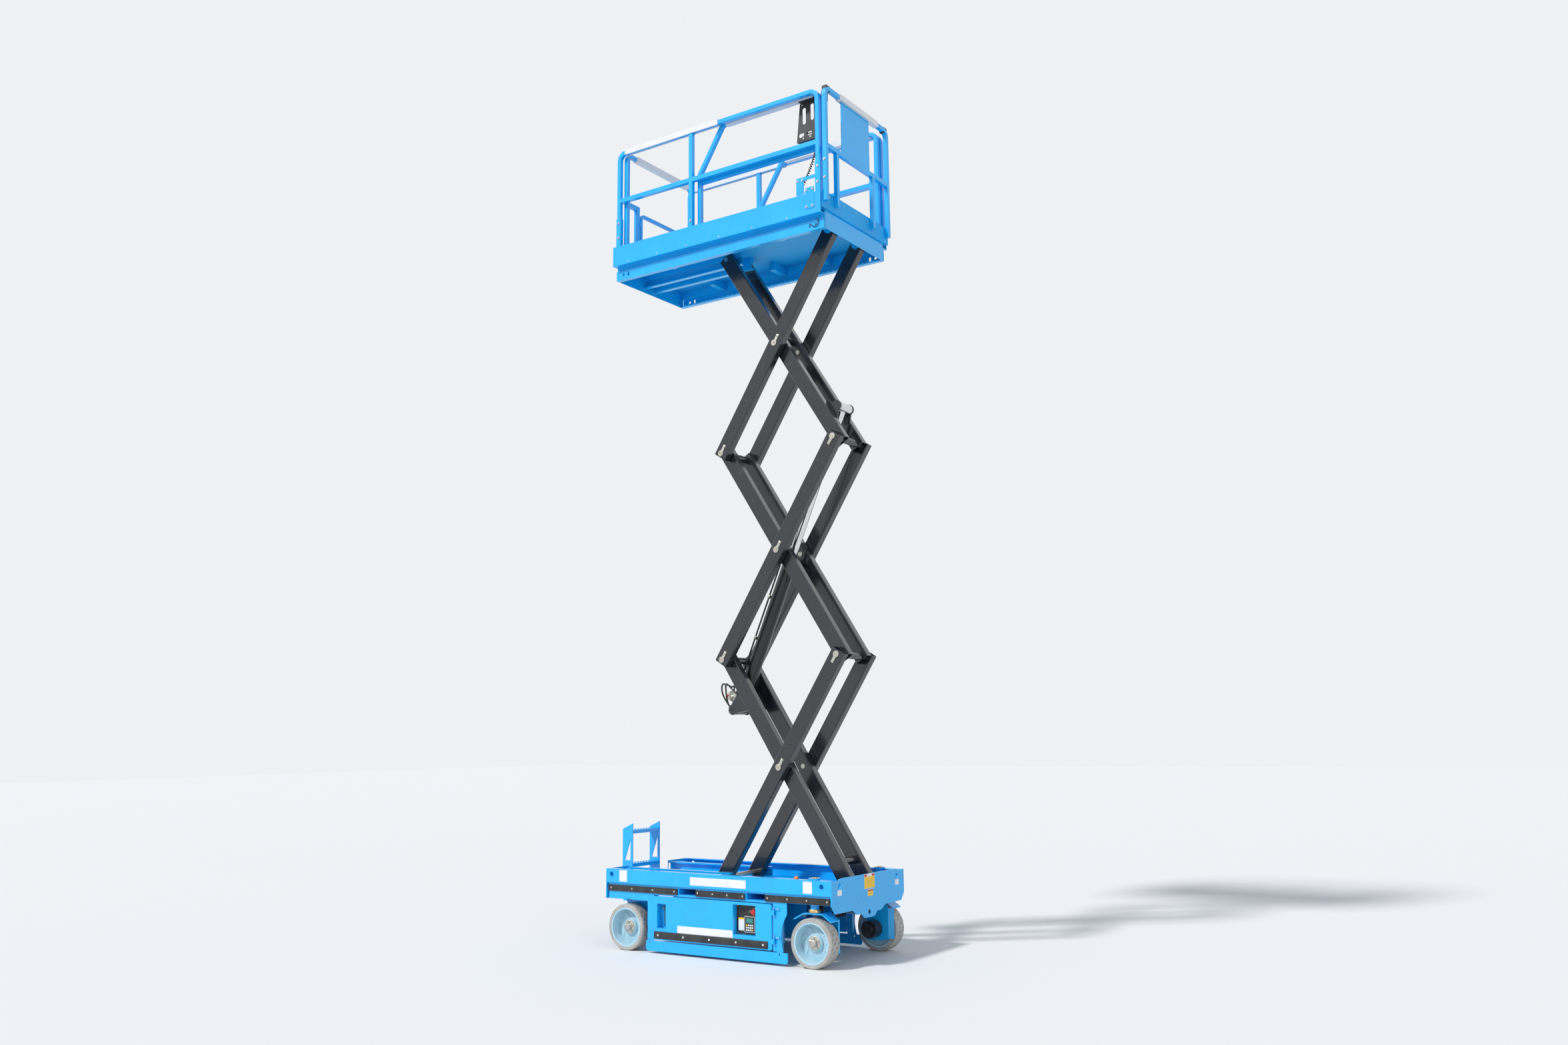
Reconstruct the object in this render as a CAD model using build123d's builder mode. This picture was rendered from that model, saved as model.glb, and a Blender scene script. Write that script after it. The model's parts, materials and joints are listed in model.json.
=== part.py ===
from math import cos, hypot, radians, sin, tan

from build123d import *
import os

# Self-propelled scissor lift with its platform raised, in millimetres.
# +X is the steering end, +Y is the left side, +Z is up.
# Sizes are set out from the floor midway between the axles; save() then moves each piece
# so that the origin lies under the middle of the overall length.

os.makedirs("parts", exist_ok=True)

# Running gear
wheelbase = 1868.0
tyre_radius = 190.5
tyre_width = 127.0
rim_radius = 160.0
running_gap = 0.3
axle_radius = 24.0
kingpin_foot = 445.0
tower_radius = 34.0

# Chassis
rear_end = 1156.0
front_end = 1128.0
half_width = 571.0
rail_bottom = 551.0
rail_top = 665.0
plate = 8.0
thin_sheet = 5.0
rail_flange = 60.0
floor_top = 483.0
floor_sheet = 6.0
spine_half_width = 185.0
spine_bottom = 205.0
skirt_inset = 12.0
skirt_bottom_rear = 418.0
strip_bottom = 484.0
strip_top = 534.0
strip_depth = 12.0

# Tie-down holes in the side rails
tie_down_stations = (-1094.0, 1037.0)
tie_down_z = 621.0
tie_down_radius = 19.0

# Fork pockets, which pass under the scissor stack from side to side
fork_width = 186.0
fork_height = 50.0
fork_wall = 4.0
fork_centres = (-277.5, 412.5)

# Wheel arches in the side skirts
rear_arch_radius = 235.0
front_arch_radius = 305.0
front_arch_x = 955.0
front_arch_z = 215.0

# Swing-out trays
tray_front = wheelbase / 2 - 366
tray_rear = 305.0 - wheelbase / 2
tray_bottom = 113.0
tray_top = 465.0
tray_depth = 245.0
door_thickness = 14.0
hinge_x = tray_front + 24
hinge_radius = 8.0
hinge_pin_radius = 4.0
hinge_heights = (183.0, 400.0)
door_gap = 5.0

# Pothole guards
guard_rear = 228.0 - wheelbase / 2
guard_front = wheelbase / 2 - 218
guard_bottom = 20.0
guard_top = 103.0
guard_thickness = 10.0
guard_bevel = 14.0
guard_hinge_radius = 7.0
guard_hinge_stations = (guard_rear + 38, guard_front - 76)

# Scissor stack
stages = 3
arm_reach = 2149.0
rise_angle = 57.5
pivot_x = 1020.0
pivot_z = 614.0
arm_depth = 128.0
arm_thickness = 75.0
arm_wall = 5.0
arm_corner = 9.0
arm_overhang = 36.0
arm_gap = 8.0
inner_arm_y = 144.5
pin_radius = 20.0
boss_radius = 28.0
top_overhang = 20.0
rear_wall_top = 540.0
pin_fit = 0.05
pin_head_radius = 27.0
pin_head = 8.0
cross_tube_radius = 32.0

# Lift cylinder, between the first and third stage's inner arms
foot_below_top = 356.0
foot_offset = -229.0
head_station = 283.0
head_offset = 117.0
barrel_radius = 60.0
barrel_length = 1395.0
rod_overlap = 128.0
rod_radius = 35.0
eye_radius = 42.0
eye_pin_radius = 20.0
bracket_plate = 14.0
bracket_radius = 46.0
bracket_gap = 0.7

# Platform
deck_front = 1123.0
deck_rear = -1160.0
rear_post_x = -1101.0
frame_drop = 86.3
board_lift = 123.0
frame_height = 158.0
deck_sheet = 4.0
frame_half_width = 500.0
board_overhang = 54.0
board_half_width = frame_half_width + board_overhang
board_height = 187.0
board_sheet = 4.0
frame_sheet = 5.0
groove_height = 36.0
rail_tube = 40.0
rail_height = 1062.0
mid_rail_height = 595.0
rail_bend = 70.0
main_rail_y = board_half_width - board_sheet - rail_tube / 2
sleeve_wall = 5.0
sleeve_end = 52.0
mid_post_x = -255.0

# Extension deck
front_post_x = 1158.0
front_post_y = board_half_width - 34
slide_gap = 0.3
extension_rear = -230.0
extension_sheet = 4.0
brace_height = 652.0

outer_arm_y = inner_arm_y + arm_thickness + arm_gap
rise = radians(rise_angle)
foot_station = arm_reach - foot_below_top
stage_rise = arm_reach * sin(rise)
stage_run = arm_reach * cos(rise)
slide_x = pivot_x - stage_run
top_pivot_z = pivot_z + stages * stage_rise
wheel_y = half_width - tyre_width / 2
axle_x = wheelbase / 2
frame_bottom = top_pivot_z - frame_drop
board_bottom = frame_bottom + board_lift
deck_underside = frame_bottom + frame_height
deck_top = deck_underside + deck_sheet
top_rail_z = deck_underside + rail_height
mid_rail_z = deck_underside + mid_rail_height
sides = (("right", -1), ("left", 1))
turn_y = (90, 0, 0)


ladder_back = -1300.0
centre_shift = -(ladder_back + front_post_x + rail_tube / 2 + sleeve_wall) / 2


def save(part, name):
    part = part.moved(Location((centre_shift, 0, 0)))
    part.label = name
    export_step(part, f"parts/{name}.step")


def across(x, y, z):
    """A place whose cylinders run along Y."""
    return Location((x, y, z), turn_y)


# Chassis floor with its spine and the rear axle carriers
with BuildPart() as chassis_frame:
    with Locations(((front_end - rear_end) / 2, 0, floor_top - floor_sheet / 2)):
        Box(front_end + rear_end - 2 * plate, 2 * (half_width - 3 * skirt_inset), floor_sheet)
    # columns: side of the machine
    for side in (-1, 1):
        with Locations((-40, side * spine_half_width, (floor_top + spine_bottom) / 2)):
            Box(2 * axle_x - 500, plate, floor_top - spine_bottom)
    with Locations((-40, 0, spine_bottom + plate / 2)):
        Box(2 * axle_x - 500, 2 * spine_half_width + plate, plate)
    # rear axle carriers: plates each side, down to the axle
    for side in (-1, 1):
        carrier_y = side * (half_width - tyre_width - 30)
        with BuildSketch(Plane.XZ.offset(-carrier_y)) as carrier:
            with BuildLine():
                Polyline(
                    (-axle_x - 130, floor_top - floor_sheet),
                    (-axle_x + 150, floor_top - floor_sheet),
                    (-axle_x + 62, tyre_radius - 40),
                    (-axle_x + 30, tyre_radius - 62),
                    (-axle_x - 30, tyre_radius - 62),
                    (-axle_x - 62, tyre_radius - 40),
                    close=True,
                )
            make_face()
        extrude(amount=plate, both=True)
        with Locations(across(-axle_x, side * (half_width - tyre_width / 2 - 32), tyre_radius)):
            Cylinder(axle_radius, tyre_width + 20)
        # hole for the kingpin tower
        with Locations((axle_x, side * wheel_y, floor_top)):
            Cylinder(tower_radius, 4 * floor_sheet, mode=Mode.SUBTRACT)
save(chassis_frame.part, "chassis_frame")

# Fork pocket tubes on the floor, the rear one with saddles for the slide tracks
track_height = 84.0
track_depth = 44.0
track_sheet = 8.0
track_y = outer_arm_y + arm_thickness / 2
track_middle = track_y + 6 + track_depth / 2
fork_top = floor_top + fork_height + 2 * fork_wall
track_underside = pivot_z - track_height / 2
with BuildPart() as fork_tubes:
    for x in fork_centres:
        with Locations((x, 0, (floor_top + fork_top) / 2)):
            Box(fork_width + 2 * fork_wall, 2 * (half_width - skirt_inset - thin_sheet), fork_top - floor_top)
            Box(fork_width, 2 * half_width, fork_height, mode=Mode.SUBTRACT)
    for side in (-1, 1):
        with Locations((fork_centres[0], side * track_middle, (fork_top + track_underside) / 2)):
            Box(fork_width / 2, track_depth, track_underside - fork_top)
save(fork_tubes.part, "fork_tubes")

# Front kingpin towers, from the floor to above the side rails
with BuildPart() as kingpin_towers:
    for side in (-1, 1):
        with Locations((axle_x, side * wheel_y, (kingpin_foot + rail_top) / 2)):
            Cylinder(tower_radius, rail_top - kingpin_foot)
        with Locations((axle_x, side * wheel_y, rail_top + 6)):
            Cylinder(46, 12)
        with Locations((axle_x, side * (wheel_y - 45), (floor_top + rail_top) / 2 - 20)):
            Box(plate, 90, rail_top - floor_top - 40)
save(kingpin_towers.part, "kingpin_towers")

# Lower pivot lugs on both sides of each inner arm
with BuildPart() as pivot_lugs:
    for side in (-1, 1):
        for y in (inner_arm_y + arm_thickness / 2 + 12, inner_arm_y - arm_thickness / 2 - 12):
            with BuildSketch(Plane.XZ.offset(-side * y)) as lug:
                with BuildLine():
                    Polyline(
                        (pivot_x - 85, floor_top),
                        (pivot_x + 85, floor_top),
                        (pivot_x + 44, pivot_z),
                        (pivot_x - 44, pivot_z),
                        close=True,
                    )
                make_face()
                with Locations((pivot_x, pivot_z)):
                    Circle(44)
            extrude(amount=6, both=True)
    for side in (-1, 1):
        with Locations(across(pivot_x, side * inner_arm_y, pivot_z)):
            Cylinder(pin_radius, arm_thickness + 60)
save(pivot_lugs.part, "pivot_lugs")

# Slide tracks for the lower ends of the outer arms
track_rear = -rear_end + plate
track_front = slide_x + 110
slot_height = 58.0
roller_radius = 28.0
track_flange = (track_height - slot_height) / 2
bar_joint = 0.2
with BuildPart() as slide_tracks:
    track_length = track_front - track_rear
    track_station = (track_rear + track_front) / 2
    for side in (-1, 1):
        # flat bars over and under the slot, and the one that closes its outer side
        for height in (-1, 1):
            with Locations((track_station, side * track_middle, pivot_z + height * (slot_height + track_flange) / 2)):
                Box(track_length, track_depth, track_flange)
        with Locations((track_station, side * (track_middle + (track_depth - track_sheet) / 2), pivot_z)):
            Box(track_length, track_sheet, slot_height - 2 * bar_joint)
save(slide_tracks.part, "slide_tracks")

# Side rails: lipped channels with a flange on top, a hole for the kingpin tower and tie-down holes
with BuildPart() as side_rails:
    for side in (-1, 1):
        with BuildSketch(Plane.YZ.offset(-rear_end + plate)) as rail_section:
            with BuildLine():
                Polyline(
                    (side * half_width, rail_bottom),
                    (side * half_width, rail_top),
                    (side * (half_width - rail_flange), rail_top),
                    (side * (half_width - rail_flange), rail_top - plate),
                    (side * (half_width - plate), rail_top - plate),
                    (side * (half_width - plate), rail_bottom + plate),
                    (side * (half_width - skirt_inset - plate), rail_bottom + plate),
                    (side * (half_width - skirt_inset - plate), rail_bottom),
                    close=True,
                )
            make_face()
        extrude(amount=rear_end + front_end - 2 * plate)
        with Locations((axle_x, side * wheel_y, rail_top)):
            Cylinder(tower_radius, 4 * plate, mode=Mode.SUBTRACT)
        for x in tie_down_stations:
            with Locations(across(x, side * half_width, tie_down_z)):
                Cylinder(tie_down_radius, 4 * plate, mode=Mode.SUBTRACT)
save(side_rails.part, "side_rails")

# Skirts below the rails: wheel arches, fork pockets, door frame, pillars and hinge halves
with BuildPart() as skirts:
    for side in (-1, 1):
        skirt_y = side * (half_width - skirt_inset)
        with BuildSketch(Plane.XZ.offset(-skirt_y)) as skirt:
            with BuildLine():
                Polyline(
                    (-rear_end + 26, rail_bottom),
                    (-rear_end + 26, skirt_bottom_rear),
                    (tray_rear - 73, skirt_bottom_rear),
                    (tray_rear - 73, guard_top + door_gap),
                    (tray_rear - door_gap, guard_top + door_gap),
                    (tray_rear - door_gap, tray_top + door_gap),
                    (tray_front + door_gap, tray_top + door_gap),
                    (tray_front + door_gap, guard_top + door_gap),
                    (guard_front - 10, guard_top + door_gap),
                    (guard_front - 10, strip_bottom),
                    (front_end - 14, strip_bottom),
                    (front_end - 14, rail_bottom),
                    close=True,
                )
            make_face()
            with Locations((-axle_x, tyre_radius)):
                Circle(rear_arch_radius, mode=Mode.SUBTRACT)
            with Locations((front_arch_x, front_arch_z)):
                Circle(front_arch_radius, mode=Mode.SUBTRACT)
            for x in fork_centres:
                with Locations((x, floor_top + fork_wall + fork_height / 2)):
                    Rectangle(fork_width, fork_height, mode=Mode.SUBTRACT)
        extrude(amount=side * thin_sheet)
        # pillars behind the skirt carry the tray hinge and the latch
        for x in (tray_rear - 38, tray_front + 55):
            with Locations((x, side * (half_width - skirt_inset - thin_sheet - 16), 292)):
                Box(50, 32, 370)
        # tray hinge leaves and pins, and the pothole guard's hinge lugs and pins
        for z in hinge_heights:
            with Locations((hinge_x, side * (half_width + 4), z + 30.3)):
                Cylinder(hinge_radius, 20)
            with Locations((hinge_x, side * (half_width + 4), z + 10)):
                Cylinder(hinge_pin_radius, 60)
            with Locations((hinge_x + 26, side * (half_width - skirt_inset + 5), z + 30.3)):
                Box(44, 10, 20)
        for x in guard_hinge_stations:
            with Locations((x, side * (half_width - skirt_inset - thin_sheet), guard_top + 8)):
                Box(8, 10, 40)
            with Locations((x, side * (half_width - guard_thickness), guard_top - 2)):
                Box(8, 12, 12)
            with Locations(Location((x, side * (half_width - guard_thickness), guard_top - 2), (0, 90, 0))):
                Cylinder(hinge_pin_radius, 48)
save(skirts.part, "skirts")

# Front plate with raised middle, stepped lower edge, tie-down holes and tow hole
with BuildPart() as front_plate:
    with BuildSketch(Plane.YZ.offset(front_end - plate)) as outline:
        with BuildLine():
            Polyline(
                (0, 677),
                (425, 677),
                (470, rail_top),
                (half_width, rail_top),
                (half_width, 480),
                (522, 417),
                (258, 414),
                (190, 378),
                (124, 376),
                (78, 340),
                (0, 338),
                close=True,
            )
        make_face()
        mirror(about=Plane.YZ)
        with Locations((-450, 618), (450, 618)):
            SlotOverall(44, 30, rotation=60, mode=Mode.SUBTRACT)
        with Locations((0, 380)):
            Circle(19, mode=Mode.SUBTRACT)
    extrude(amount=plate)
save(front_plate.part, "front_plate")

# Rear wall, low in the middle where the folded arms pass, high where it carries the slide tracks
with BuildPart() as rear_wall:
    with BuildSketch(Plane.YZ.offset(-rear_end)) as outline:
        with BuildLine():
            Polyline(
                (0, skirt_bottom_rear),
                (half_width, skirt_bottom_rear),
                (half_width, rail_top),
                (track_y + 4, rail_top),
                (track_y + 4, rear_wall_top),
                (0, rear_wall_top),
                close=True,
            )
        make_face()
        mirror(about=Plane.YZ)
    extrude(amount=plate)
    # windows where the lower rollers run out of their tracks at the lowest height
    for side in (-1, 1):
        with Locations((-rear_end + plate / 2, side * (track_middle - track_sheet / 2), pivot_z)):
            Box(2 * plate, track_depth - track_sheet, slot_height, mode=Mode.SUBTRACT)
save(rear_wall.part, "rear_wall")

# Rub strips along the sides
strip_spans = ((-1129, -381), (-187, 306), (505, 1110))
with BuildPart() as rub_strips:
    for side in (-1, 1):
        for start, end in strip_spans:
            with Locations(((start + end) / 2, side * (half_width - skirt_inset + strip_depth / 2),
                            (strip_bottom + strip_top) / 2)):
                Box(end - start, strip_depth, strip_top - strip_bottom)
save(rub_strips.part, "rub_strips")

# Rear ladder: two cut-out side plates and serrated steps, clear of the lowered arms above the rear wall
ladder_y = 187.0
ladder_front = -1185.0
ladder_foot = 352.0
step_heights = (945.0, 655.0, 365.0)
step_depth = 30.0
with BuildPart() as ladder:
    for side in (-1, 1):
        with BuildSketch(Plane.XZ.offset(-side * ladder_y)) as cheek:
            with BuildLine():
                Polyline(
                    (-rear_end, rear_wall_top - 10),
                    (ladder_front, rear_wall_top - 10),
                    (ladder_front, 1020),
                    (ladder_back, 971),
                    (ladder_back, ladder_foot + 20),
                    (ladder_back + 30, ladder_foot),
                    (-rear_end - 40, ladder_foot),
                    (-rear_end, skirt_bottom_rear + 6),
                    close=True,
                )
            make_face()
            for low in (700, 420):
                with BuildLine():
                    Polyline(
                        (ladder_back + 24, low),
                        (ladder_front - 24, low),
                        (ladder_front - 24, low + 190),
                        close=True,
                    )
                make_face(mode=Mode.SUBTRACT)
        extrude(amount=plate / 2, both=True)
    for z in step_heights:
        with Locations(((ladder_back + ladder_front) / 2, 0, z)):
            Box(ladder_front - ladder_back - 10, 2 * ladder_y, step_depth)
        with Locations(((ladder_back + ladder_front) / 2, 0, z - plate)):
            Box(ladder_front - ladder_back - 20, 2 * ladder_y - plate, step_depth, mode=Mode.SUBTRACT)
save(ladder.part, "ladder")

# Knuckles: kingpin, fender plate over the wheel, inner plate and hub spindle
fender_z = 415.0
knuckle_y = wheel_y - tyre_width / 2 - 26
cheek_foot = 115.0
for name, side in sides:
    with BuildPart() as knuckle:
        with BuildSketch(Plane.XZ.offset(-side * (wheel_y + 40))) as fender:
            with BuildLine():
                Polyline(
                    (axle_x - 171, 368),
                    (axle_x - 80, fender_z),
                    (axle_x + 90, fender_z),
                    (axle_x + 170, 362),
                    (axle_x + 170, 354),
                    (axle_x + 88, fender_z - plate),
                    (axle_x - 78, fender_z - plate),
                    (axle_x - 171, 359),
                    close=True,
                )
            make_face()
        extrude(amount=side * (wheel_y + 40 - knuckle_y))
        with BuildSketch(Plane.XZ.offset(-side * knuckle_y)) as cheek:
            with BuildLine():
                Polyline(
                    (axle_x - 80, fender_z),
                    (axle_x + 90, fender_z),
                    (axle_x + 130, fender_z - 60),
                    (axle_x + 130, cheek_foot),
                    (axle_x + 60, 95),
                    (axle_x - 80, 95),
                    close=True,
                )
            make_face()
        extrude(amount=side * 12)
        wing = BuildSketch(Plane.XY.offset(cheek_foot))
        with wing:
            with BuildLine():
                Polyline(
                    (axle_x + 129, side * (knuckle_y - 12)),
                    (axle_x + 129, side * knuckle_y),
                    (axle_x + 168, side * (knuckle_y + 19)),
                    (axle_x + 174, side * (knuckle_y + 9)),
                    close=True,
                )
            make_face()
        extrude(wing.sketch, amount=fender_z - 60 - cheek_foot)
        with Locations((axle_x, side * wheel_y, (fender_z + kingpin_foot - running_gap) / 2)):
            Cylinder(40, kingpin_foot - running_gap - fender_z)
        with Locations(across(axle_x, side * (wheel_y + 40 + knuckle_y - 6) / 2, tyre_radius)):
            Cylinder(axle_radius, wheel_y + 40 - knuckle_y + 6)
    save(knuckle.part, f"knuckle_{name}")
    with BuildPart() as motor:
        with Locations(across(axle_x, side * (knuckle_y - 62), tyre_radius)):
            Cylinder(72, 100)
        with Locations(across(axle_x, side * (knuckle_y - 130), tyre_radius)):
            Cylinder(48, 40)
    save(motor.part, f"drive_motor_{name}")

# Wheels: solid tyre and dished rim with pockets and hub
wheel_table = (
    # name, x, side
    ("front_right", axle_x, -1),
    ("front_left", axle_x, 1),
    ("rear_right", -axle_x, -1),
    ("rear_left", -axle_x, 1),
)
for name, x, side in wheel_table:
    outer_face = side * half_width
    with BuildPart() as tyre:
        with BuildSketch(Plane.XY) as section:
            with BuildLine():
                Polyline(
                    (rim_radius, -tyre_width / 2),
                    (tyre_radius - 12, -tyre_width / 2),
                    (tyre_radius, -tyre_width / 2 + 10),
                    (tyre_radius, tyre_width / 2 - 10),
                    (tyre_radius - 12, tyre_width / 2),
                    (rim_radius, tyre_width / 2),
                    close=True,
                )
            make_face()
        revolve(axis=Axis.Y)
    tyre_part = tyre.part.moved(Location((x, side * wheel_y, tyre_radius)))
    save(tyre_part, f"tyre_{name}")
    with BuildPart() as rim:
        with BuildSketch(Plane.XY) as section:
            with BuildLine():
                Polyline(
                    (axle_radius + running_gap, -10),
                    (60, -10),
                    (75, 8),
                    (rim_radius - 22, 18),
                    (rim_radius - 12, -tyre_width / 2 + 2),
                    (rim_radius - 0.1, -tyre_width / 2 + 2),
                    (rim_radius - 0.1, tyre_width / 2 - 2),
                    (rim_radius - 14, tyre_width / 2 - 2),
                    (rim_radius - 20, 44),
                    (66, 36),
                    (50, 30),
                    (axle_radius + running_gap, 30),
                    close=True,
                )
            make_face()
        revolve(axis=Axis.Y)
    flip = Rotation(0, 0, 180) if side > 0 else Rotation(0, 0, 0)
    rim_part = rim.part.moved(Location((x, side * wheel_y, tyre_radius)) * flip)
    save(rim_part, f"rim_{name}")

# Swing-out trays: door with its pockets, tray floor, walls and the hinge barrels
pocket_depth = 60.0
pocket_wall = 4.0
latch_pocket = (-545.0, 306.0, 90.0, 196.0)
panel_pocket = (303.0, 327.0, 220.0, 232.0)
inside = half_width - door_thickness
tray_middle = (tray_front + tray_rear) / 2 - 20
tray_length = tray_front - tray_rear - 60
tray_wall_height = 188.0
for name, side in sides:
    pockets = (latch_pocket, panel_pocket) if name == "right" else (latch_pocket,)
    with BuildPart() as tray:
        with BuildSketch(Plane.XZ.offset(-side * half_width)) as door:
            with Locations(((tray_front + tray_rear) / 2, (tray_top + tray_bottom) / 2)):
                RectangleRounded(tray_front - tray_rear, tray_top - tray_bottom, 18)
        extrude(amount=side * door_thickness)
        with Locations((tray_middle, side * (inside - tray_depth / 2), tray_bottom + 20)):
            Box(tray_length, tray_depth, plate)
        for x in (tray_middle - (tray_length - plate) / 2, tray_middle + (tray_length - plate) / 2):
            with Locations((x, side * (inside - tray_depth / 2), tray_bottom + 110)):
                Box(plate, tray_depth, tray_wall_height)
        with Locations((tray_middle, side * (inside - tray_depth + plate / 2), tray_bottom + 110)):
            Box(tray_length, plate, tray_wall_height)
        for x, z, width, height in pockets:
            with Locations((x, side * (half_width - pocket_depth / 2), z)):
                Box(width + 2 * pocket_wall, pocket_depth, height + 2 * pocket_wall)
            with Locations((x, side * (half_width - pocket_depth / 2 + pocket_wall), z)):
                Box(width, pocket_depth, height, mode=Mode.SUBTRACT)
        for z in hinge_heights:
            with Locations((hinge_x, side * (half_width + 4), z)):
                Cylinder(hinge_radius, 40)
            with Locations(((hinge_x + tray_front) / 2 - 8, side * (half_width - 1.5), z)):
                Box(hinge_x - tray_front + 8, 5, 36)
            with Locations((hinge_x, side * (half_width + 4), z)):
                Cylinder(hinge_pin_radius + pin_fit, 42, mode=Mode.SUBTRACT)
    save(tray.part, f"tray_{name}")

# Ground controls in the near door: panel with keypad, stop button and key switch, and the latch beside it
pocket_floor = half_width - pocket_depth + pocket_wall
panel_x, panel_z, panel_width, panel_height = panel_pocket
with BuildPart() as door_controls:
    with Locations((panel_x, -pocket_floor - 3, panel_z)):
        Box(panel_width - 4, 6, panel_height - 4)
    with Locations((panel_x + 30, -pocket_floor - 12, panel_z - 36)):
        Box(96, 14, 122)
    with Locations(across(panel_x + 72, -pocket_floor - 14, panel_z + 62)):
        Cylinder(14, 18)
    with Locations(across(panel_x + 72, -pocket_floor - 28, panel_z + 62)):
        Cylinder(21, 14)
    with Locations(across(panel_x + 28, -pocket_floor - 10, panel_z + 62)):
        Cylinder(9, 12)
    latch_x, latch_z, latch_width, latch_height = latch_pocket
    with Locations((latch_x + 18, -pocket_floor - 5, latch_z)):
        Box(38, 10, latch_height - 20)
    with Locations((latch_x + 20, -pocket_floor - 20, latch_z + 10)):
        Box(16, 24, 100)
    with Locations(across(latch_x + 18, -pocket_floor - 16, latch_z - 50)):
        Cylinder(12, 14)
save(door_controls.part, "door_controls")

# Heavy masses on the trays
with BuildPart() as battery_pack:
    with Locations((-20, half_width - door_thickness - tray_depth / 2, tray_bottom + 24 + 130)):
        Box(860, tray_depth - 60, 260)
save(battery_pack.part, "battery_pack")
with BuildPart() as power_unit:
    with Locations((-180, -(half_width - door_thickness - tray_depth / 2), tray_bottom + 24 + 110)):
        Box(520, tray_depth - 70, 220)
save(power_unit.part, "power_unit")

# Pothole guards
for name, side in sides:
    with BuildPart() as guard:
        with BuildSketch(Plane.XZ.offset(-side * half_width)) as outline:
            with BuildLine():
                Polyline(
                    (guard_rear, guard_top),
                    (guard_front, guard_top),
                    (guard_front, guard_bottom + guard_bevel),
                    (guard_front - guard_bevel, guard_bottom),
                    (guard_rear + guard_bevel, guard_bottom),
                    (guard_rear, guard_bottom + guard_bevel),
                    close=True,
                )
            make_face()
        extrude(amount=side * guard_thickness)
        for x in guard_hinge_stations:
            axis_y, axis_z = side * (half_width - guard_thickness), guard_top - 2
            with Locations((x, axis_y, axis_z)):
                Box(12, 3 * guard_thickness, 40, mode=Mode.SUBTRACT)
            for offset in (-15, 15):
                with Locations(Location((x + offset, axis_y, axis_z), (0, 90, 0))):
                    Cylinder(guard_hinge_radius, 18)
                with Locations(Location((x + offset, axis_y, axis_z), (0, 90, 0))):
                    Cylinder(hinge_pin_radius + pin_fit, 20, mode=Mode.SUBTRACT)
    save(guard.part, f"pothole_guard_{name}")


# Scissor arms
def arm_axis(kind):
    """Unit direction of an arm from its lower end to its upper end."""
    return (cos(rise), sin(rise)) if kind == "outer" else (-cos(rise), sin(rise))


def arm_point(kind, stage, station, offset=0.0):
    """A point on an arm's side view: station from its lower pin, offset square to it."""
    ux, uz = arm_axis(kind)
    low_x = slide_x if kind == "outer" else pivot_x
    low_z = pivot_z + (stage - 1) * stage_rise
    nx, nz = (uz, -ux) if kind == "outer" else (uz, -ux)
    return low_x + station * ux + offset * nx, low_z + station * uz + offset * nz


def arm_tubes(kind, stage, y, high_end=arm_overhang):
    ux, uz = arm_axis(kind)
    x, z = arm_point(kind, stage, -arm_overhang)
    base = Plane(origin=(x, 0, z), x_dir=(0, 1, 0), z_dir=(ux, 0, uz))
    with BuildSketch(base) as section:
        with Locations((-y, 0), (y, 0)):
            RectangleRounded(arm_thickness, arm_depth, arm_corner)
            Rectangle(arm_thickness - 2 * arm_wall, arm_depth - 2 * arm_wall, mode=Mode.SUBTRACT)
    extrude(section.sketch, amount=arm_reach + arm_overhang + high_end)


def cross_tube(kind, stage, station, y):
    x, z = arm_point(kind, stage, station)
    inner_half = y - arm_thickness / 2
    with Locations(across(x, 0, z)):
        Cylinder(cross_tube_radius, 2 * inner_half + arm_wall)


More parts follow.
